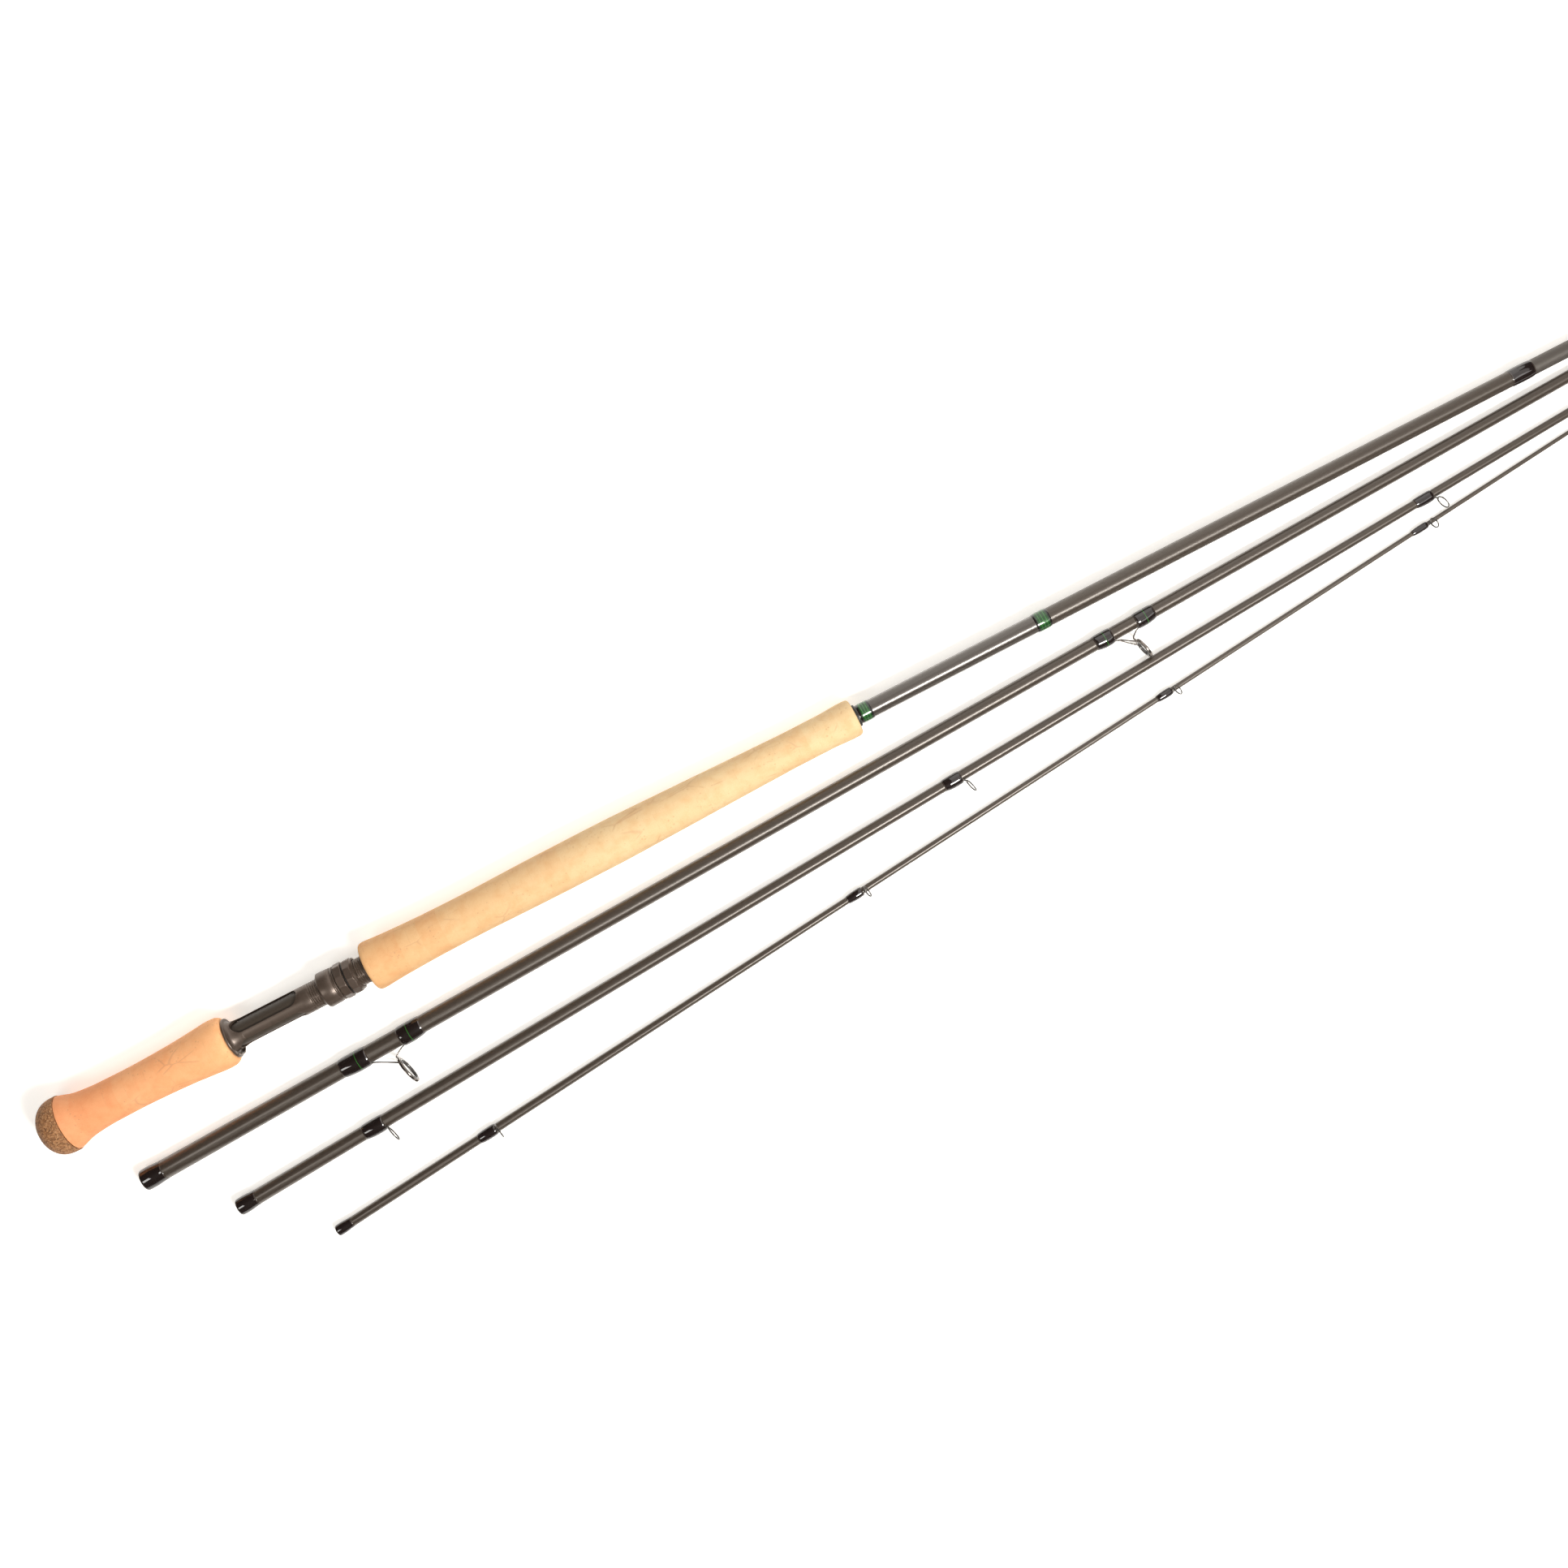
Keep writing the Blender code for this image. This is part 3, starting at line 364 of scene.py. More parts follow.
def black_wrap(name, start, end, trim=None):
    """Black thread under clear epoxy, with pale feathered ends and, if trim says where, one green turn."""
    s = Shade(name, Roughness=0.5, Specular_IOR_Level=0.1, Coat_Weight=1.0, Coat_Roughness=0.03,
              Coat_IOR=1.58)
    turns = s.rings(0.28)
    base = s.mix(turns, (0.0045, 0.0016, 0.0010), (0.010, 0.0042, 0.0028))
    feather = s.math("MAXIMUM", s.band(start + 0.35, 0.3, 0.12), s.band(end - 0.35, 0.3, 0.12))
    base = s.mix(s.math("MULTIPLY", feather, 0.6), base, (0.060, 0.045, 0.036))
    if trim:
        base = s.mix(s.band(trim, 0.20, 0.08), base, (0.018, 0.11, 0.012))
    s.colour(base)
    s.bump(turns, 0.012, 0.4)
    s.bump(s.noise(0.35, 1.0), 0.03, 0.3)
    return s.material


def green_wrap(name, start, end):
    """Metallic dark green thread under epoxy, with black borders and a few lighter turns."""
    s = Shade(name, Roughness=0.35, Metallic=0.2, Specular_IOR_Level=0.2, Coat_Weight=1.0,
              Coat_Roughness=0.04, Coat_IOR=1.5)
    turns = s.rings(0.28)
    base = s.mix(turns, (0.004, 0.028, 0.005), (0.010, 0.075, 0.012))
    for line in (0.30, 0.5, 0.70):
        base = s.mix(s.band(start + line * (end - start), 0.16, 0.06), base, (0.035, 0.17, 0.03))
    border = s.math("MAXIMUM", s.band(start, 1.25, 0.08), s.band(end, 1.25, 0.08))
    base = s.mix(border, base, (0.008, 0.006, 0.005))
    s.colour(base)
    s.bump(turns, 0.012, 0.5)
    s.bump(s.noise(0.35, 1.0), 0.05, 0.3)
    return s.material


def metal(name, colour, roughness):
    """Satin anodised metal with fine turning marks round the axis and slightly worn spots."""
    s = Shade(name, Metallic=0.45, Roughness=roughness, Specular_IOR_Level=0.7)
    marks = s.noise(3.0, 2.0, s.stretched(1.0, 0.05, 0.05), 0.7)
    spots = s.noise(0.5, 3.0)
    lighter = tuple(min(1.0, 1.35 * c) for c in colour)
    base = s.mix(s.ramp(marks, (0.3, 0.0), (0.7, 0.6)), colour, lighter)
    base = s.mix(s.ramp(spots, (0.45, 0.0), (0.8, 0.2)), base, lighter)
    s.colour(base)
    s.rough(s.math("ADD", roughness - 0.05, s.math("MULTIPLY", marks, 0.10)))
    s.bump(marks, 0.003, 0.35)
    return s.material


def bright_wire(name, colour, roughness):
    """Polished guide wire with drawing marks."""
    s = Shade(name, Metallic=1.0, Roughness=roughness)
    marks = s.noise(2.5, 3.0, None, 0.6)
    s.colour(s.mix(marks, colour, tuple(0.72 * c for c in colour)))
    s.rough(s.math("ADD", roughness - 0.06, s.math("MULTIPLY", marks, 0.14)))
    s.bump(marks, 0.008, 0.4)
    return s.material


def ceramic_material():
    """Dark grey polished ceramic, faintly clouded."""
    s = Shade("ring_ceramic", Roughness=0.12, Coat_Weight=0.5, Coat_Roughness=0.05)
    grey = s.noise(0.8, 2.0)
    s.colour(s.mix(grey, (0.035, 0.032, 0.030), (0.10, 0.092, 0.086)))
    s.rough(s.math("ADD", 0.08, s.math("MULTIPLY", grey, 0.1)))
    return s.material


def plastic(name, colour, roughness):
    """Moulded black trim with a fine satin texture."""
    s = Shade(name, Roughness=roughness)
    fine = s.noise(4.0, 3.0)
    s.colour(s.mix(fine, colour, tuple(1.8 * c + 0.004 for c in colour)))
    s.rough(s.math("ADD", roughness - 0.05, s.math("MULTIPLY", fine, 0.12)))
    s.bump(fine, 0.02, 0.4)
    return s.material


def insert_material():
    """Satin dark brown insert seen through the seat's windows, with a fine ribbed look."""
    s = Shade("seat_insert_lacquer", Roughness=0.55, Specular_IOR_Level=0.35)
    weave = s.noise(1.6, 3.0, s.stretched(0.3, 1.0, 1.0))
    ribs = s.rings(0.6)
    base = s.mix(weave, (0.030, 0.021, 0.014), (0.050, 0.037, 0.026))
    s.colour(s.mix(s.math("MULTIPLY", ribs, 0.3), base, (0.060, 0.046, 0.034)))
    s.bump(ribs, 0.01, 0.4)
    return s.material


# ---- shapes

def around(x, radius, angle, lift=0.0):
    """A point round the section's axis; the angle is measured from -Z towards +Y."""
    return Vector((x, radius * math.sin(angle), -radius * math.cos(angle) - lift))


def circle(x, radius, sides, lift=0.0):
    return [around(x, radius, turn_of(k, sides), lift) for k in range(sides)]


def from_top(angle):
    """Turn degrees measured from +Z towards -Y into the angle that around() takes."""
    return math.radians(angle) + math.pi


def turn_of(index, count):
    return 2.0 * math.pi * index / count


def eased(value):
    value = min(1.0, max(0.0, value))
    return value * value * (3.0 - 2.0 * value)


def radius_at(taper, x):
    for (x0, r0), (x1, r1) in zip(taper, taper[1:]):
        if x <= x1:
            return r0 + max(0.0, (x - x0) / (x1 - x0)) * (r1 - r0)
    return taper[-1][1]


def smooth_profile(points, step):
    """Points every step or so on a curve through the given (x, radius) points, without overshoot."""
    slopes = [(b[1] - a[1]) / (b[0] - a[0]) for a, b in zip(points, points[1:])]
    tangents = [slopes[0]]
    for before, after in zip(slopes, slopes[1:]):
        tangents.append(0.0 if before * after <= 0.0 else 2.0 * before * after / (before + after))
    tangents.append(slopes[-1])
    result = []
    for index, ((x0, r0), (x1, r1)) in enumerate(zip(points, points[1:])):
        run = x1 - x0
        count = max(2, int(run / step))
        for k in range(count):
            t = k / count
            value = (2 * t ** 3 - 3 * t ** 2 + 1) * r0 + (t ** 3 - 2 * t ** 2 + t) * run * tangents[index]
            value += (3 * t ** 2 - 2 * t ** 3) * r1 + (t ** 3 - t ** 2) * run * tangents[index + 1]
            result.append((x0 + t * run, value))
    return result + [points[-1]]


def loft(bm, rings, closed):
    """Skin equal rings of points; a closed loft joins its last ring to its first."""
    loops = [[bm.verts.new(point) for point in ring] for ring in rings]
    pairs = list(zip(loops, loops[1:]))
    if closed:
        pairs.append((loops[-1], loops[0]))
    for first, second in pairs:
        for index in range(len(first)):
            after = (index + 1) % len(first)
            bm.faces.new((first[index], first[after], second[after], second[index]))
    if not closed:
        bm.faces.new(loops[0][::-1])
        bm.faces.new(loops[-1])


def lathe(bm, outline, sides=SIDES, capped=False):
    loft(bm, [circle(x, r, sides) for x, r in outline], closed=not capped)


def tube(bm, outline, bore, sides=SIDES):
    lathe(bm, outline + [(outline[-1][0], bore), (outline[0][0], bore)], sides)


def sweep(bm, stations, steps=6):
    """A smooth elliptical bar along (point, half width, half thickness) stations, its width along Y."""
    sides = 16
    fine = []
    last = len(stations) - 1
    for index in range(last):
        p = [stations[min(max(index + k, 0), last)] for k in (-1, 0, 1, 2)]
        for step in range(steps):
            t = step / steps
            # Catmull-Rom weights of the station before, the two that hold t between them, and the next.
            weights = (0.5 * (-t + 2 * t * t - t ** 3), 0.5 * (2 - 5 * t * t + 3 * t ** 3),
                       0.5 * (t + 4 * t * t - 3 * t ** 3), 0.5 * (-t * t + t ** 3))
            point = Vector((0.0, 0.0, 0.0))
            for weight, station in zip(weights, p):
                point += weight * station[0]
            width = (1 - t) * p[1][1] + t * p[2][1]
            thickness = (1 - t) * p[1][2] + t * p[2][2]
            fine.append((point, width, thickness))
    fine.append(stations[-1])
    rings = []
    for index, (point, width, thickness) in enumerate(fine):
        forward = (fine[min(index + 1, len(fine) - 1)][0] - fine[max(index - 1, 0)][0]).normalized()
        across = (Vector((0.0, 1.0, 0.0)) - forward * forward.y).normalized()
        up = across.cross(forward)
        rings.append([point + across * width * math.cos(turn_of(k, sides))
                      + up * thickness * math.sin(turn_of(k, sides)) for k in range(sides)])
    loft(bm, rings, closed=False)


def standing_ring(bm, centre_x, height, major, section, lean, steps=72, pinch=0.0):
    """A ring on the guide side; section is (radial, axial) points, and pinch draws its foot to a point."""
    pinch_spread = 0.32  # radians
    tilt = math.radians(lean)
    outward = Vector((math.sin(tilt), 0.0, -math.cos(tilt)))
    normal = Vector((math.cos(tilt), 0.0, math.sin(tilt)))
    centre = Vector((centre_x, 0.0, -height))
    rings = []
    for index in range(steps):
        angle = turn_of(index, steps)
        low = math.pi - abs(math.pi - angle)
        reach = major + pinch * math.exp(-((math.pi - low) / pinch_spread) ** 2)
        spoke = outward * math.cos(angle) + Vector((0.0, math.sin(angle), 0.0))
        rings.append([centre + spoke * (reach + radial) + normal * axial for radial, axial in section])
    loft(bm, rings, closed=True)


def oval(half_radial, half_axial, count=16, power=1.0):
    """Points of an ellipse, or of a rounded rectangle when power is under 1."""
    points = []
    for k in range(count):
        c, s = math.cos(turn_of(k, count)), math.sin(turn_of(k, count))
        radial = half_radial * math.copysign(abs(c) ** power, c)
        axial = half_axial * math.copysign(abs(s) ** power, s)
        points.append((radial, axial))
    return points


def add_object(name, data):
    item = bpy.data.objects.new(name, data)
    bpy.context.scene.collection.objects.link(item)
    return item


def mesh_of(name, bm):
    mesh = bpy.data.meshes.new(name)
    bm.to_mesh(mesh)
    bm.free()
    return mesh


def add_piece(node, bm, material, place, body):
    """Turn a bmesh in millimetres into a piece that rides on a body and stands for a CAD node."""
    bmesh.ops.recalc_face_normals(bm, faces=bm.faces)
    bmesh.ops.scale(bm, vec=(MM, MM, MM), verts=bm.verts)
    mesh = mesh_of(node + "_fine", bm)
    mesh.shade_smooth()
    mesh.set_sharp_from_angle(angle=math.radians(SHARP_ANGLE))
    mesh.materials.append(material)
    piece = add_object(node + "_fine", mesh)
    piece.matrix_world = place
    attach(piece, body)
    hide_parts(node)


def cut(bm, cutters):
    """Subtract closed cutters, each a function that fills a bmesh, from the solid in bm.

    The sharp edges of what is left are bevelled.
    """
    solid = add_object("solid", mesh_of("solid", bm))
    tools = []
    for fill in cutters:
        tool_bm = bmesh.new()
        fill(tool_bm)
        bmesh.ops.recalc_face_normals(tool_bm, faces=tool_bm.faces)
        tool = add_object("tool", mesh_of("tool", tool_bm))
        modifier = solid.modifiers.new("cut", "BOOLEAN")
        modifier.operation = "DIFFERENCE"
        modifier.solver = "EXACT"
        modifier.object = tool
        tools.append(tool)
    bevel = solid.modifiers.new("edge", "BEVEL")
    bevel.width = BEVEL_WIDTH
    bevel.segments = 2
    bevel.limit_method = "ANGLE"
    bevel.angle_limit = math.radians(40.0)
    bpy.context.view_layer.update()
    depsgraph = bpy.context.evaluated_depsgraph_get()
    result = bmesh.new()
    result.from_mesh(solid.evaluated_get(depsgraph).to_mesh())
    for item in tools + [solid]:
        bpy.data.objects.remove(item, do_unlink=True)
    return result


# ---- blanks and wraps

def blank_outline(taper):
    """Points every 40 mm along a taper, and its end."""
    step = 40.0
    points = []
    x = taper[0][0]
    while x < taper[-1][0]:
        points.append((x, radius_at(taper, x)))
        x += step
    return points + [taper[-1]]


def add_blank(node, taper, place, body, material, socket=None, bore_end=None):
    """A tube with rounded lips; bore_end closes the bore of a blank that is solid above it."""
    outline = blank_outline(taper)
    start, end = outline[0], outline[-1]
    outer = [(start[0], start[1] - 0.25), (start[0] + 0.07, start[1] - 0.09), (start[0] + 0.25, start[1])]
    outer += outline[1:-1] + [(end[0] - 0.2, end[1]), (end[0] - 0.05, end[1] - 0.06), (end[0], end[1] - 0.2)]
    if socket:
        depth, mouth, floor = socket
        bore = [(0.0, mouth + 0.15), (0.3, mouth), (depth, floor)]
    else:
        bore = [(start[0], start[1] - BLANK_WALL)]
    bm = bmesh.new()
    if bore_end:
        inner = [(bore_end, 0.3), (bore_end - 1.0, 0.6), (70.0, 1.5), *bore[::-1]]
        lathe(bm, inner + outer, capped=True)
    else:
        above = [(x, r - BLANK_WALL) for x, r in outline if x > bore[-1][0] + 1.0]
        lathe(bm, outer + (bore + above)[::-1])
    add_piece(node, bm, material, place, body)


def crown(share, power=3.0):
    """A smooth hump over shares 0 to 1, round at both ends and 1 in the middle."""
    return math.sqrt(max(0.0, 1.0 - abs(2.0 * share - 1.0) ** power))


def crown_shares(count):
    """Shares from 0 to 1, closest together at both ends, where a crown turns down."""
    return [0.5 - 0.5 * math.cos(math.pi * k / count) for k in range(count + 1)]


def add_plain_wrap(node, start, end, taper, place, body, material, slot, height=WRAP_HEIGHT):
    """A wrap round the blank: epoxy drawn into a gentle crown with rounded ends."""
    outer = []
    for share in crown_shares(40):
        x = start + share * (end - start)
        outer.append((x, radius_at(taper, x) + WRAP_EDGE + (height - WRAP_EDGE) * crown(share)))
    bore = [(x, radius_at(taper, x) - WRAP_EDGE) for x in (end, start)]
    bm = bmesh.new()
    lathe(bm, outer + bore, FINE_SIDES)
    add_piece(node, bm, material, place, body)


def add_ferrule_wrap(node, size, taper, place, body):
    """The wrap round a socket's mouth: rounded at the lip, fullest near it, and thinning up the blank."""
    length, bulge = size
    start = 0.04
    mouth = radius_at(taper, 0.0)
    outer = [(start, mouth - 0.02)]
    for share in crown_shares(64)[1:-1]:
        lip = math.sqrt(1.0 - (1.0 - min(1.0, share / 0.09)) ** 2)
        close = math.sqrt(1.0 - max(0.0, (share - 0.95) / 0.05) ** 2)
        swell = 0.55 + 0.45 * math.sin(math.pi * min(1.0, share + 0.15))
        thinning = 1.0 - 0.45 * eased((share - 0.35) / 0.65)
        x = start + share * (length - start)
        outer.append((x, radius_at(taper, x) + bulge * lip * swell * thinning * close))
    outer.append((length, radius_at(taper, length)))
    bm = bmesh.new()
    lathe(bm, outer + [(length, radius_at(taper, length) - 0.04), (start, mouth - 0.05)], FINE_SIDES)
    epoxy = black_wrap(node + "_fine_epoxy", 0.0, length)
    add_piece(node, bm, epoxy, place, body)


def add_foot_wrap(node, near, far, taper, place, body, foot_thickness, trim=None):
    """A wrap over a guide's foot, drawn out into a smooth hump over it; near is its end at the ring."""
    rings = []
    for share in crown_shares(56):
        x = far + share * (near - far)
        blank = radius_at(taper, x)
        skin = WRAP_EDGE + 0.48 * crown(share, 4.0)
        rise = math.sin(0.5 * math.pi * min(1.0, share / 0.62)) ** 1.3
        hump = (foot_thickness + 0.18) * rise * crown(share, 8.0)
        radius = blank + skin + 0.5 * hump
        rings.append(circle(x, radius, FINE_SIDES, 0.5 * hump))
    for x in (near, far):
        rings.append(circle(x, radius_at(taper, x) - WRAP_EDGE, FINE_SIDES))
    bm = bmesh.new()
    loft(bm, rings, closed=True)
    epoxy = black_wrap(node + "_fine_epoxy", min(near, far), max(near, far), trim)
    add_piece(node, bm, epoxy, place, body)


# ---- guides

def foot_stations(near, far, taper, half_width, thickness):
    """Stations of a flattened foot, from its toe under the wrap to its end at the ring, near."""
    toe = near + 0.5 * (far - near)
    instep = toe + math.copysign(1.5, near - toe)
    stations = []
    for x, share in ((toe, 0.6), (instep, 1.0), (near, 1.0)):
        height = radius_at(taper, x) + 0.2 + 0.5 * thickness
        stations.append((Vector((x, 0.0, -height)), share * half_width, share * 0.5 * thickness))
    return stations


def add_wire_guide(name, start, end, ring_size, taper, place, body, wire):
    """A single-foot guide: wire loop, neck and a flattened foot under its wrap."""
    blank = radius_at(taper, end)
    tilt = math.radians(GUIDE_LEAN)
    major = 0.5 * ring_size - WIRE_RADIUS
    neck_x = end + 1.1
    lowest = blank + 1.3 + WIRE_RADIUS
    centre_x = neck_x + major * math.sin(tilt)
    height = lowest + major * math.cos(tilt)
    bm = bmesh.new()
    wire_round = oval(WIRE_RADIUS, WIRE_RADIUS, WIRE_ROUND)
    standing_ring(bm, centre_x, height, major, wire_round, GUIDE_LEAN, pinch=0.25)
    path = foot_stations(end, start, taper, 0.5 * FOOT_WIDTH, FOOT_THICKNESS)
    path.append((path[-1][0] + Vector((0.55, 0.0, -0.2)), 0.5, 0.3))
    path.append((Vector((neck_x + 0.1, 0.0, -lowest + 0.05)), 0.55, 0.36))
    path.append((Vector((neck_x + 0.22, 0.0, -lowest - 0.35)), 0.5, 0.36))
    sweep(bm, path)
    add_piece(name, bm, wire, place, body)
    add_foot_wrap(name + "_wrap", end, start, taper, place, body, FOOT_THICKNESS)


def add_stripping_guide(name, spec, taper, place, body, chrome, ceramic):
    """A double-foot guide: two rear legs, a curled front leg, the frame ring and its ceramic ring."""
    rear, front, centre_x, height, ring_size, rear_trim, front_trim = spec
    outer = 0.5 * ring_size
    bm = bmesh.new()
    standing_ring(bm, centre_x, height, outer - 0.5, oval(0.5, 0.75, 20, 0.55), STRIPPING_LEAN, FINE_SIDES)

    def on_ring(degrees):
        """A place in the middle of the frame ring, in degrees from its side at the blank."""
        tilt = math.radians(STRIPPING_LEAN)
        spoke = Vector((-math.sin(tilt), 0.0, math.cos(tilt))) * math.cos(math.radians(degrees))
        spoke.y = math.sin(math.radians(degrees))
        return Vector((centre_x, 0.0, -height)) + spoke * (outer - 0.5)

    foot = foot_stations(rear[1], rear[0], taper, STRIPPING_FOOT_HALF, STRIPPING_FOOT)
    heel = foot[-1][0]
    foot.append((heel + Vector((1.0, 0.0, -0.12)), 1.15, 0.36))
    foot.append((heel + Vector((1.9, 0.0, -0.5)), 0.7, 0.3))
    sweep(bm, foot)
    for side in (-1.0, 1.0):
        landing = on_ring(side * 48.0)
        sweep(bm, [(heel + Vector((0.3, 0.55 * side, -0.02)), 0.40, 0.36),
                   (heel + Vector((2.2, 0.85 * side, -0.75)), 0.45, 0.40),
                   (heel.lerp(landing, 0.5) + Vector((0.3, 0.3 * side, 0.1)), 0.50, 0.36),
                   (landing + Vector((-0.4, 0.0, 0.1)), 0.5, 0.5),
                   (landing + Vector((0.3, 0.0, 0.0)), 0.45, 0.5)], steps=8)
    path = foot_stations(front[0], front[1], taper, STRIPPING_FOOT_HALF, STRIPPING_FOOT)
    heel = path[-1][0]
    lowest = on_ring(0.0)
    bend = heel + Vector((-0.3 * (heel.x - lowest.x) - 0.9, 0.0, -0.9))
    path.append((heel + Vector((-0.5, 0.0, -0.12)), 1.05, 0.34))
    path.append((bend, 0.75, 0.40))
    path.append((Vector((lowest.x - 0.9, 0.0, 0.45 * bend.z + 0.55 * lowest.z)), 0.6, 0.42))
    path.append((lowest + Vector((0.0, 0.0, -0.1)), 0.55, 0.45))
    sweep(bm, path, steps=8)
    add_piece(name + "_frame", bm, chrome, place, body)
    inside = outer - 1.0 - 0.15 - 0.45  # past the frame and a small gap, to the ceramic's middle
    bm = bmesh.new()
    standing_ring(bm, centre_x, height, inside, oval(0.52, 0.95, 20, 0.8), STRIPPING_LEAN, FINE_SIDES)
    add_piece(name + "_ring", bm, ceramic, place, body)
    for wrap, near, far, trim in (("_rear_wrap", rear[1], rear[0], rear_trim),
                                  ("_front_wrap", front[0], front[1], front_trim)):
        add_foot_wrap(name + wrap, near, far, taper, place, body, STRIPPING_FOOT, trim)


def add_tip_top(taper, place, body, wire):
    """A short tube over the tip with a wire ring at its end, and the wrap below it."""
    start, end = TIP_TOP
    bore = radius_at(taper, start) + 0.05
    outer = bore + 0.55
    outline = [(end - 0.6, bore * 0.6), (end - 0.7, bore), (start, bore), (start, outer - 0.12),
               (start + 0.12, outer), (end - 0.4, outer), (end, outer - 0.15), (end + 0.35, outer - 0.55),
               (end + 0.5, 0.5)]
    bm = bmesh.new()
    lathe(bm, outline, 32, capped=True)
    major = TIP_TOP_RADIUS - WIRE_RADIUS
    centre_x = end + 1.18 + major * math.sin(math.radians(GUIDE_LEAN))
    wire_round = oval(WIRE_RADIUS, WIRE_RADIUS, WIRE_ROUND)
    standing_ring(bm, centre_x, 0.35 + major, major, wire_round, GUIDE_LEAN)
    sweep(bm, [(Vector((end - 0.2, 0.0, 0.0)), 0.6, 0.5), (Vector((end + 0.6, 0.0, -0.2)), 0.55, 0.4),
               (Vector((end + 1.25, 0.0, -0.4)), 0.5, 0.35)])
    add_piece("tip_top", bm, wire, place, body)
    low, high = start - 7.0, start - 0.1
    epoxy = black_wrap("tip_top_epoxy", low, high)
    add_plain_wrap("tip_top_wrap", low, high, taper, place, body, epoxy, "black_thread", 0.42)


# ---- handle and reel seat

def window_fill(angle):
    """A cutter for one of the seat's round-ended windows, at degrees from +Z."""
    def fill(bm):
        half = 0.5 * WINDOW_WIDTH
        outward = around(0.0, 1.0, from_top(angle))
        sideways = around(0.0, 1.0, from_top(angle) + 0.5 * math.pi)
        outline = []
        for centre, first in ((WINDOW_END - half, -90.0), (WINDOW_START + half, 90.0)):
            for index in range(25):
                turn = math.radians(first + 7.5 * index)
                outline.append((centre + half * math.cos(turn), half * math.sin(turn)))
        rings = []
        for reach in (4.0, 13.0):
            rings.append([Vector((x, 0.0, 0.0)) + sideways * w + outward * reach for x, w in outline])
        loft(bm, rings, closed=False)
    return fill


def pocket_fill(start, end, outer, half_angle):
    """A cutter for the pocket of a hood, where the foot of a reel goes."""
    def fill(bm):
        steps = 32
        inner = SEAT_RADIUS - 0.4
        rings = []
        for x in (start, end):
            ring = [around(x, outer, from_top(REEL_SIDE - half_angle + 2.0 * half_angle * k / steps))
                    for k in range(steps + 1)]
            ring += [around(x, inner, from_top(REEL_SIDE + half_angle - 2.0 * half_angle * k / steps))
                     for k in range(steps + 1)]
            rings.append(ring)
        loft(bm, rings, closed=False)
    return fill


def add_fixed_hood(bm):
    """A thin rim and a hollow flare down to the barrel; the lip over the reel's foot is on the reel side."""
    sides = SEAT_SIDES
    lip_half_angle = 36.0
    rim = [(SEAT_START, 11.3), (118.8, 11.75), (119.0, 11.92), (119.8, 11.92), (120.05, 11.75),
           (120.15, 11.4)]
    flare = [(120.2, 10.2), (120.6, 9.75), (121.3, 9.3), (121.8, 9.08), (121.85, 9.06), (122.6, 8.83),
             (123.6, 8.6), (124.7, 8.4), (126.2, 8.2), (127.4, 8.1), (128.0, 8.07)]
    lip = [11.25, 11.2, 11.12, 11.0]
    rings = [circle(x, r, sides) for x, r in rim]
    for index, (x, r) in enumerate(flare):
        raised = lip[index] if index < len(lip) else r
        ring = []
        for k in range(sides):
            angle = turn_of(k, sides)
            away = abs((math.degrees(angle - from_top(REEL_SIDE)) + 180.0) % 360.0 - 180.0)
            ring.append(around(x, r + (raised - r) * eased((lip_half_angle - away) / 4.0), angle))
        rings.append(ring)
    for x in (flare[-1][0], rim[0][0]):
        rings.append(circle(x, SEAT_RADIUS - 0.2, sides))
    loft(bm, rings, closed=True)


def add_threads(bm, start, end):
    """The helical thread of the seat's end, as a fine grid whose radius follows the angle."""
    sides = FINE_SIDES
    fade_length = 0.8  # over which the groove runs out at each end
    count = int((end - start) / (THREAD_PITCH / 10.0))
    rings = []
    for index in range(count + 1):
        x = start + (end - start) * index / count
        fade = eased((x - start) / fade_length) * eased((end - x) / fade_length)
        ring = []
        for k in range(sides):
            phase = (x / THREAD_PITCH - k / sides) % 1.0
            groove = max(0.0, 1.0 - abs(phase - 0.5) / 0.38)
            ring.append(around(x, SEAT_RADIUS - THREAD_DEPTH * groove * fade, turn_of(k, sides)))
        rings.append(ring)
    for x in (end, start):
        rings.append(circle(x, SEAT_BORE, sides))
    loft(bm, rings, closed=True)


def add_sleeve(node, outline, bore, material, body, sides=SIDES):
    """A plain ring or tube of the handle."""
    bm = bmesh.new()
    tube(bm, outline, bore, sides)
    add_piece(node, bm, material, BUTT, body)


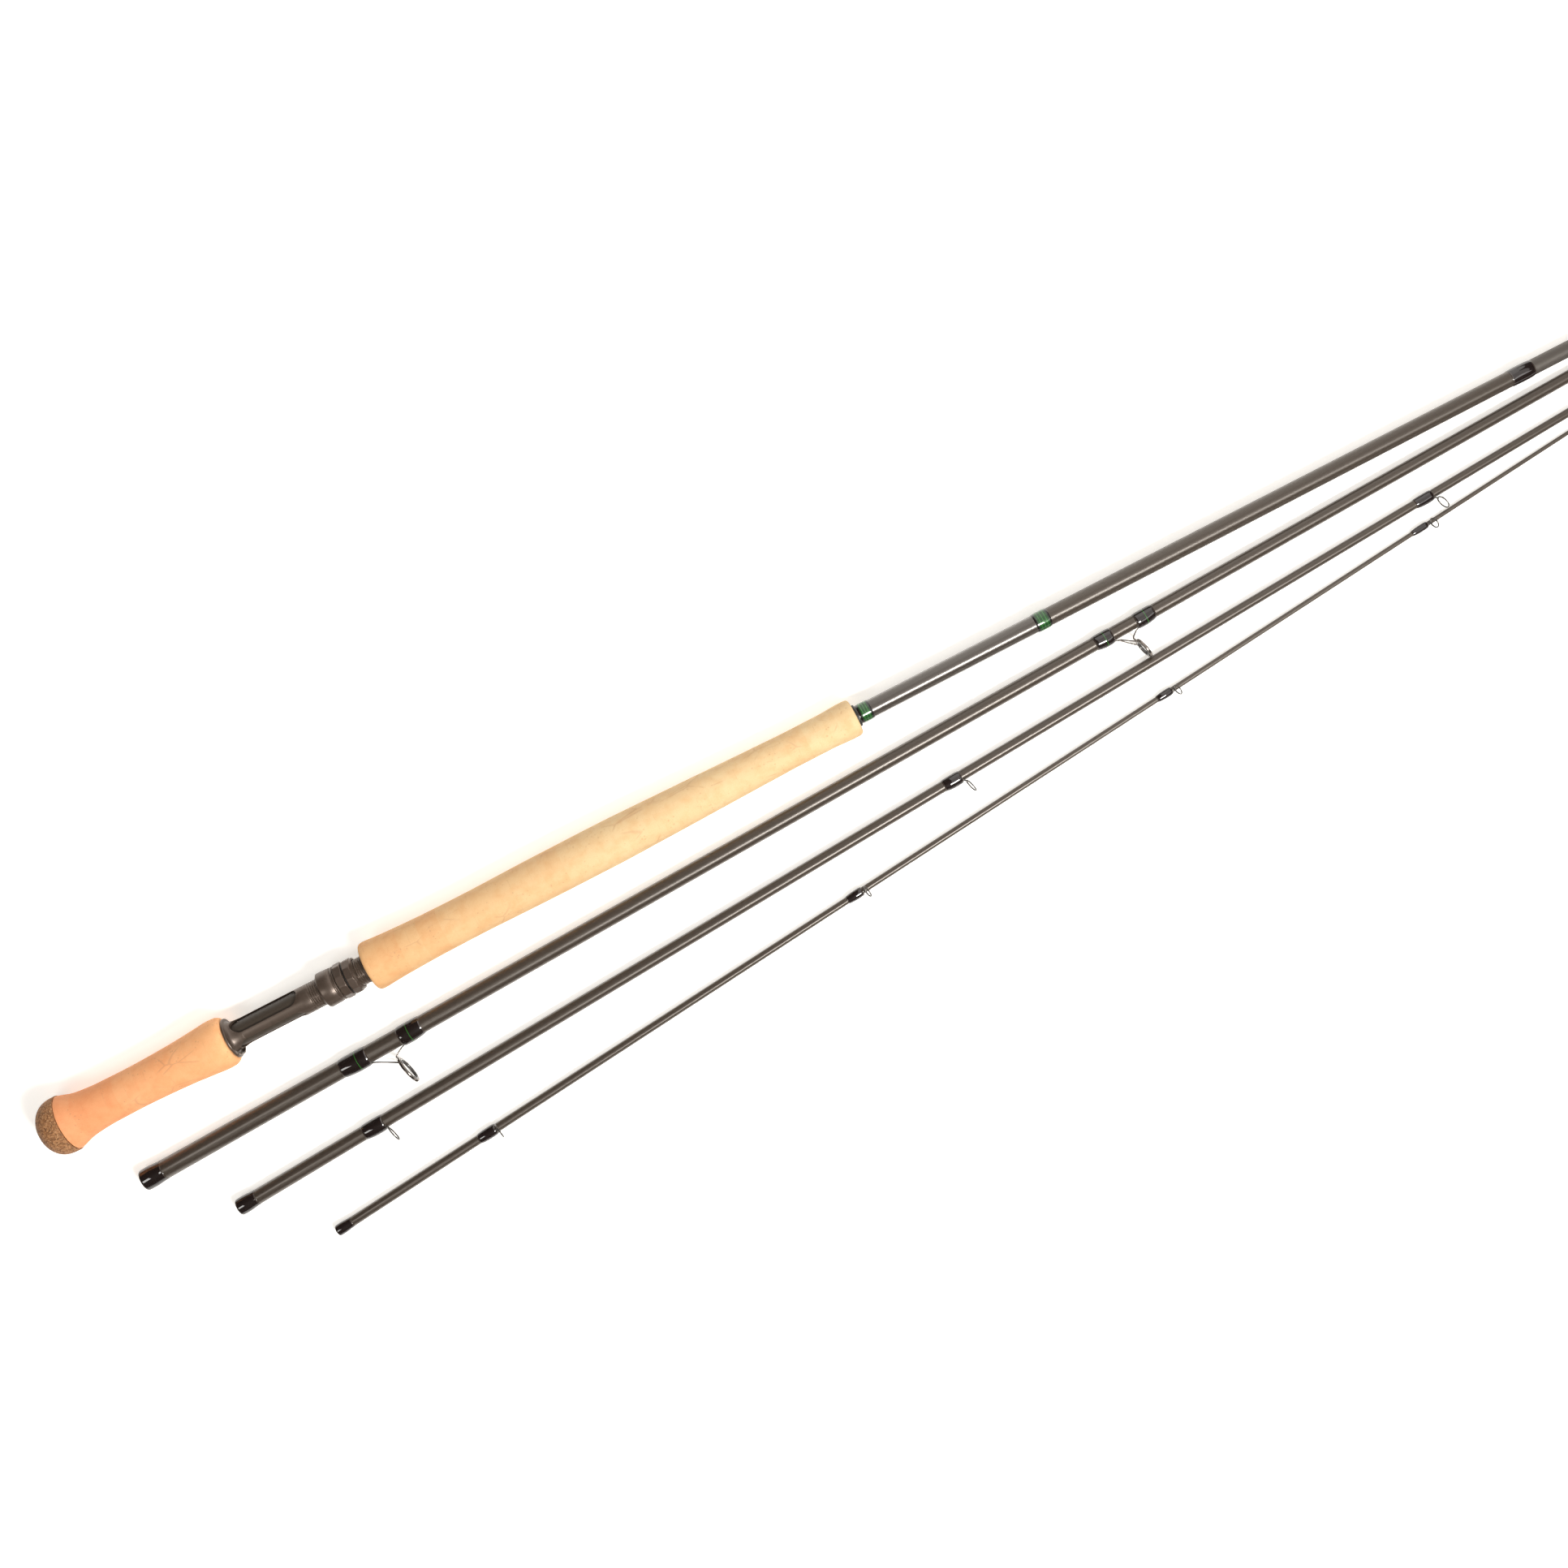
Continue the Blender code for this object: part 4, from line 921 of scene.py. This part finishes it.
def add_seat(seat_metal, nut_metal, insert, trim):
    body = "butt_section"
    bm = bmesh.new()
    tube(bm, [(x, SEAT_RADIUS) for x in (SEAT_START, 122.0, 165.0, THREAD_START)], SEAT_BORE, SEAT_SIDES)
    bm = cut(bm, [window_fill(angle) for angle in WINDOW_ANGLES])
    add_threads(bm, THREAD_START, THREAD_END)
    add_piece("seat_barrel", bm, seat_metal, BUTT, body)

    add_sleeve("seat_insert", [(122.3, 6.6), (122.4, 6.7), (168.8, 6.7), (168.9, 6.6)], HANDLE_BORE,
               insert, body, FINE_SIDES)
    for name, start, end in (("seat_bushing_rear", 118.9, 122.0), ("seat_bushing_front", 169.2, 205.4)):
        add_sleeve(name, [(start, 6.5), (start + 0.2, 6.7), (end - 0.2, 6.7), (end, 6.5)], HANDLE_BORE,
                   trim, body)

    bm = bmesh.new()
    add_fixed_hood(bm)
    bm = cut(bm, [pocket_fill(120.1, 130.0, 10.3, 50.0)] + [window_fill(angle) for angle in WINDOW_ANGLES])
    add_piece("fixed_hood", bm, seat_metal, BUTT, body)

    bm = bmesh.new()
    tube(bm, [(176.2, 8.55), (176.3, 8.75), (176.9, 9.2), (177.1, 9.9), (177.4, 10.3), (178.0, 10.5),
              (182.0, 10.36), (185.3, 10.15), (185.5, 10.0), (185.6, 9.55), (186.1, 9.5), (186.25, 9.6),
              (186.3, 9.95), (186.45, 10.05), (187.15, 10.05), (187.3, 9.85)], RUNNING_RADIUS, SEAT_SIDES)
    bm = cut(bm, [pocket_fill(175.0, 182.5, 9.6, 28.0)])
    add_piece("sliding_hood", bm, seat_metal, BUTT, "sliding_hood")

    add_nut("hood_nut", 187.7, 192.4, 10.55, -19.7, nut_metal)
    add_sleeve("lock_washer", [(192.7, 9.1), (192.76, 9.2), (193.04, 9.2), (193.1, 9.1)], RUNNING_RADIUS,
               trim, "lock_washer")
    add_nut("lock_nut", 193.4, 197.8, 10.35, 6.0, nut_metal, (199.2, 9.5))
    add_sleeve("seat_end_ring", [(204.3, 8.8), (204.45, 9.0), (205.45, 9.0), (THREAD_END, 8.8)],
               RUNNING_RADIUS, seat_metal, body)


def add_nut(name, start, end, corner, turn, material, collar=None):
    """A faceted nut, a body of its own; its ends are turned, which rounds the corners of the facets."""
    steps = 12  # faces across each facet
    sides = NUT_FACETS * steps
    flat = corner * math.cos(math.pi / NUT_FACETS)
    drops = ((0.0, 0.55), (0.12, 0.38), (0.3, 0.2), (0.5, 0.06), (0.75, 0.0))
    profile = [(start + depth, drop) for depth, drop in drops]
    profile += [(0.5 * (start + end), 0.0)]
    profile += [(start + end - x, drop) for x, drop in profile[-2::-1]]
    rings = []
    for x, drop in profile:
        ring = []
        for k in range(sides):
            off = ((k % steps) / steps - 0.5) * 2.0 * math.pi / NUT_FACETS
            facet = flat / math.cos(off)
            ring.append(around(x, min(facet, corner - 0.04 - drop), from_top(turn) + turn_of(k, sides)))
        rings.append(ring)
    last = end
    if collar:
        last, radius = collar
        for x, r in ((end + 0.05, radius), (last - 0.15, radius), (last, radius - 0.2)):
            rings.append([around(x, r, from_top(turn) + turn_of(k, sides)) for k in range(sides)])
    for x, r in ((last, RUNNING_RADIUS + 0.15), (last - 0.2, RUNNING_RADIUS), (start + 0.2, RUNNING_RADIUS),
                 (start, RUNNING_RADIUS + 0.15)):
        rings.append([around(x, r, from_top(turn) + turn_of(k, sides)) for k in range(sides)])
    bm = bmesh.new()
    loft(bm, rings, closed=True)
    add_piece(name, bm, material, BUTT, name)


def add_handle(trim):
    """The butt cap, the two grips and the winding check."""
    body = "butt_section"
    length, widest, widest_x, roundness = CAP
    steps = 28
    first = 0.02
    outline = []
    for index in range(steps + 1):
        turn = 0.5 * math.pi * (index + 0.35) / (steps + 0.35)
        x = first + (widest_x - first) * (1.0 - math.cos(turn))
        outline.append((x, widest * (1.0 - ((widest_x - x) / widest_x) ** roundness) ** 0.5))
    outline += [(length - 0.35, widest - 0.02), (length - 0.05, widest - 0.15), (length, widest - 0.5)]
    bm = bmesh.new()
    lathe(bm, outline, FINE_SIDES, capped=True)
    add_piece("butt_cap", bm, cap_material(), BUTT, body)
    # Each grip's span from deep to pale is painted light, lighter towards the lamps further up the rod.
    lower = cork("lower_cork", (0.86, 0.480, 0.228), (0.80, 0.345, 0.158), 17.0, 118.0, 7.0)
    upper = cork("upper_cork", (0.69, 0.515, 0.285), (0.71, 0.425, 0.20), 205.0, 370.0, 31.0)
    for node, profile, look, slot in (("lower_grip", LOWER_GRIP, lower, "lower_cork"),
                                      ("upper_grip", UPPER_GRIP, upper, "upper_cork")):
        add_sleeve(node, smooth_profile(profile, 2.0), HANDLE_BORE, look, body, FINE_SIDES)
    check = [(513.8, 6.35), (513.95, 6.55), (514.3, 6.62), (514.75, 6.58), (515.05, 6.35), (515.1, 6.1)]
    add_sleeve("winding_check", check, CHECK_BORE, trim, body)


# ---- the whole rod

def build_rod():
    seat_metal = metal("seat_anodised", (0.080, 0.056, 0.041), 0.36)
    nut_metal = metal("nut_anodised", (0.082, 0.057, 0.042), 0.34)
    trim = plastic("black_trim_satin", (0.010, 0.010, 0.010), 0.42)
    wire = bright_wire("guide_wire_steel", (0.15, 0.14, 0.13), 0.3)
    chrome = bright_wire("guide_frame_chrome", (0.27, 0.235, 0.21), 0.22)
    ceramic = ceramic_material()
    add_handle(trim)
    add_seat(seat_metal, nut_metal, insert_material(), trim)

    wrap_start, wrap_end = BUTT_FERRULE_WRAP
    butt_blank = carbon("blank_carbon_butt", LABEL_STRETCH, wrap_end)
    where = (BUTT_TAPER, BUTT, "butt_section")
    add_blank("butt_blank", *where, butt_blank)
    for node, start, end in GREEN_WRAPS:
        green = green_wrap(node + "_thread", start, end)
        add_plain_wrap(node, start, end, *where, green, "green_thread")
    black = black_wrap("butt_ferrule_epoxy", wrap_start, wrap_end)
    add_plain_wrap("butt_ferrule_wrap", wrap_start, wrap_end, *where, black, "black_thread")

    blank = carbon("blank_carbon")
    where = (SECOND_TAPER, SECOND, "second_section")
    add_blank("section2_blank", *where, blank, SECOND_SOCKET)
    add_ferrule_wrap("section2_ferrule_wrap", SECOND_FERRULE_WRAP, *where)
    for number, spec in enumerate(STRIPPING_GUIDES, start=1):
        add_stripping_guide("stripping_guide_%d" % number, spec, *where, chrome, ceramic)

    where = (THIRD_TAPER, THIRD, "third_section")
    add_blank("section3_blank", *where, blank, THIRD_SOCKET)
    add_ferrule_wrap("section3_ferrule_wrap", THIRD_FERRULE_WRAP, *where)
    for number, spec in enumerate(THIRD_GUIDES, start=1):
        add_wire_guide("section3_guide_%d" % number, *spec, *where, wire)

    where = (TIP_TAPER, TIP, "tip_section")
    add_blank("tip_blank", *where, blank, TIP_SOCKET, TIP_BORE_END)
    add_ferrule_wrap("tip_ferrule_wrap", TIP_FERRULE_WRAP, *where)
    for number, spec in enumerate(TIP_GUIDES, start=1):
        add_wire_guide("tip_guide_%d" % number, *spec, *where, wire)
    add_tip_top(*where, wire)


# ---- studio

CAMERA_HEIGHT = 1.1
VIEW_WIDTH = 0.8930  # metres of floor seen across the frame
VIEW_CENTRE = (0.4602, -0.0154, 0.0)  # in the butt section's own frame, in metres
IMAGE_TURN = math.radians(-27.29)
LIT_RADIUS = 750.0  # mm of floor that the softboxes light well
UNLIT_RADIUS = 1900.0  # mm where next to nothing of their light arrives
FLOOR_GLOW = 0.48  # of its own light, near the rod
FAR_GLOW = 0.44  # added to that beyond UNLIT_RADIUS
FLOOR_RADII = (0.5, 1.0, 2.0, 4.0, 8.0)  # metres
FLOOR_SIDES = 48
WORLD_LIGHT = 0.07  # strength of the surroundings as they light the rod
WORLD_SHOWN = 0.89  # how much brighter the camera sees them
# Name, place, aim, width, depth, watts and colour of each lamp. over(), below, says what the places mean.
SOFTBOXES = [
    ("key", (0.66, -0.69, 1.1), (0.64, -0.05, 0.0), 0.40, 0.34, 20.5, (1.0, 0.985, 0.96)),
    ("right_key", (1.22, -0.69, 1.1), (0.85, -0.05, 0.0), 0.80, 0.34, 2.8, (1.0, 0.985, 0.96)),
    ("left_key", (-0.44, -0.22, 1.15), (0.1, -0.05, 0.0), 0.36, 0.32, 3.2, (1.0, 0.98, 0.95)),
    ("ceiling", (1.15, 0.25, 1.6), (1.15, 0.25, 0.0), 1.3, 1.7, 8.5, (1.0, 0.97, 0.94)),
    ("wall", (1.12, 1.50, 0.82), (1.12, 0.0, 0.0), 1.3, 1.85, 13.5, (1.0, 0.97, 0.94))]


def add_camera():
    data = bpy.data.cameras.new("camera")
    data.sensor_width = 36.0
    data.lens = data.sensor_width * CAMERA_HEIGHT / VIEW_WIDTH
    data.clip_start = 0.05
    data.clip_end = 20.0
    camera = add_object("camera", data)
    below = BUTT @ Vector(VIEW_CENTRE)
    camera.location = (below.x, below.y, CAMERA_HEIGHT)
    camera.rotation_euler = (0.0, 0.0, IMAGE_TURN)
    bpy.context.scene.camera = camera


def add_softbox(name, place, aim, width, depth, power, colour):
    data = bpy.data.lights.new(name, "AREA")
    data.shape = "RECTANGLE"
    data.size = width
    data.size_y = depth
    data.energy = power
    data.color = colour
    lamp = add_object(name, data)
    lamp.location = place
    lamp.rotation_euler = (Vector(aim) - Vector(place)).to_track_quat("-Z", "Y").to_euler()


def floor_material():
    """Pale paper that glows a little near the rod, and more beyond the lamps' reach, to look evenly lit."""
    s = Shade("floor_paper", Roughness=0.9, Specular_IOR_Level=0.1)
    grain = s.noise(0.4, 2.0)
    s.colour(s.mix(grain, (0.93, 0.925, 0.915), (0.925, 0.92, 0.91)))
    distance = s.add("VectorMath", {"operation": "LENGTH"}, Vector=s.place).outputs["Value"]
    far = s.add("MapRange", Value=distance, From_Min=LIT_RADIUS, From_Max=UNLIT_RADIUS).outputs[0]
    glow = s.math("ADD", FLOOR_GLOW, s.math("MULTIPLY", far, FAR_GLOW))
    s.feed(s.shader.inputs["Emission Strength"], glow)
    # Warmer glow near the rod: a painted warm tint for the rod's shadows on the floor.
    s.feed(s.shader.inputs["Emission Color"], s.mix(far, (1.0, 0.96, 0.885), (1.0, 0.992, 0.975)))
    return s.material


def add_floor():
    """A round pale sheet, large enough that its edge is never seen."""
    bm = bmesh.new()
    rings = []
    turns = [turn_of(k, FLOOR_SIDES) for k in range(FLOOR_SIDES)]
    for radius in FLOOR_RADII:
        rings.append([Vector((radius * math.cos(turn), radius * math.sin(turn), 0.0)) for turn in turns])
    loops = [[bm.verts.new(point) for point in ring] for ring in rings]
    bm.faces.new(loops[0])
    for first, second in zip(loops, loops[1:]):
        for k in range(FLOOR_SIDES):
            after = (k + 1) % FLOOR_SIDES
            bm.faces.new((first[k], second[k], second[after], first[after]))
    mesh = mesh_of("floor", bm)
    mesh.materials.append(floor_material())
    floor = add_object("floor", mesh)
    floor.location = (0.0, 0.0, CAD_BOX[0].z)


def add_studio():
    scene = bpy.context.scene
    add_floor()
    along = BUTT.to_3x3() @ Vector((1.0, 0.0, 0.0))
    start = BUTT.translation

    def over(x, y, z):
        """A place over the table in metres, from the butt section's lower end; z is the height."""
        return (start.x + along.x * x, start.y + y, z)

    for name, place, aim, *rest in SOFTBOXES:
        add_softbox(name, over(*place), over(*aim), *rest)
    world = bpy.data.worlds.new("studio")
    world.use_nodes = True
    tree = world.node_tree
    background = tree.nodes["Background"]
    background.inputs["Color"].default_value = (1.0, 0.99, 0.975, 1.0)
    rays = tree.nodes.new("ShaderNodeLightPath")
    share = tree.nodes.new("ShaderNodeMath")
    share.operation = "MULTIPLY_ADD"
    share.inputs[1].default_value = WORLD_SHOWN
    share.inputs[2].default_value = WORLD_LIGHT
    tree.links.new(rays.outputs["Is Camera Ray"], share.inputs[0])
    tree.links.new(share.outputs[0], background.inputs["Strength"])
    scene.world = world
    scene.view_settings.view_transform = "Standard"


build_rod()
add_camera()
add_studio()
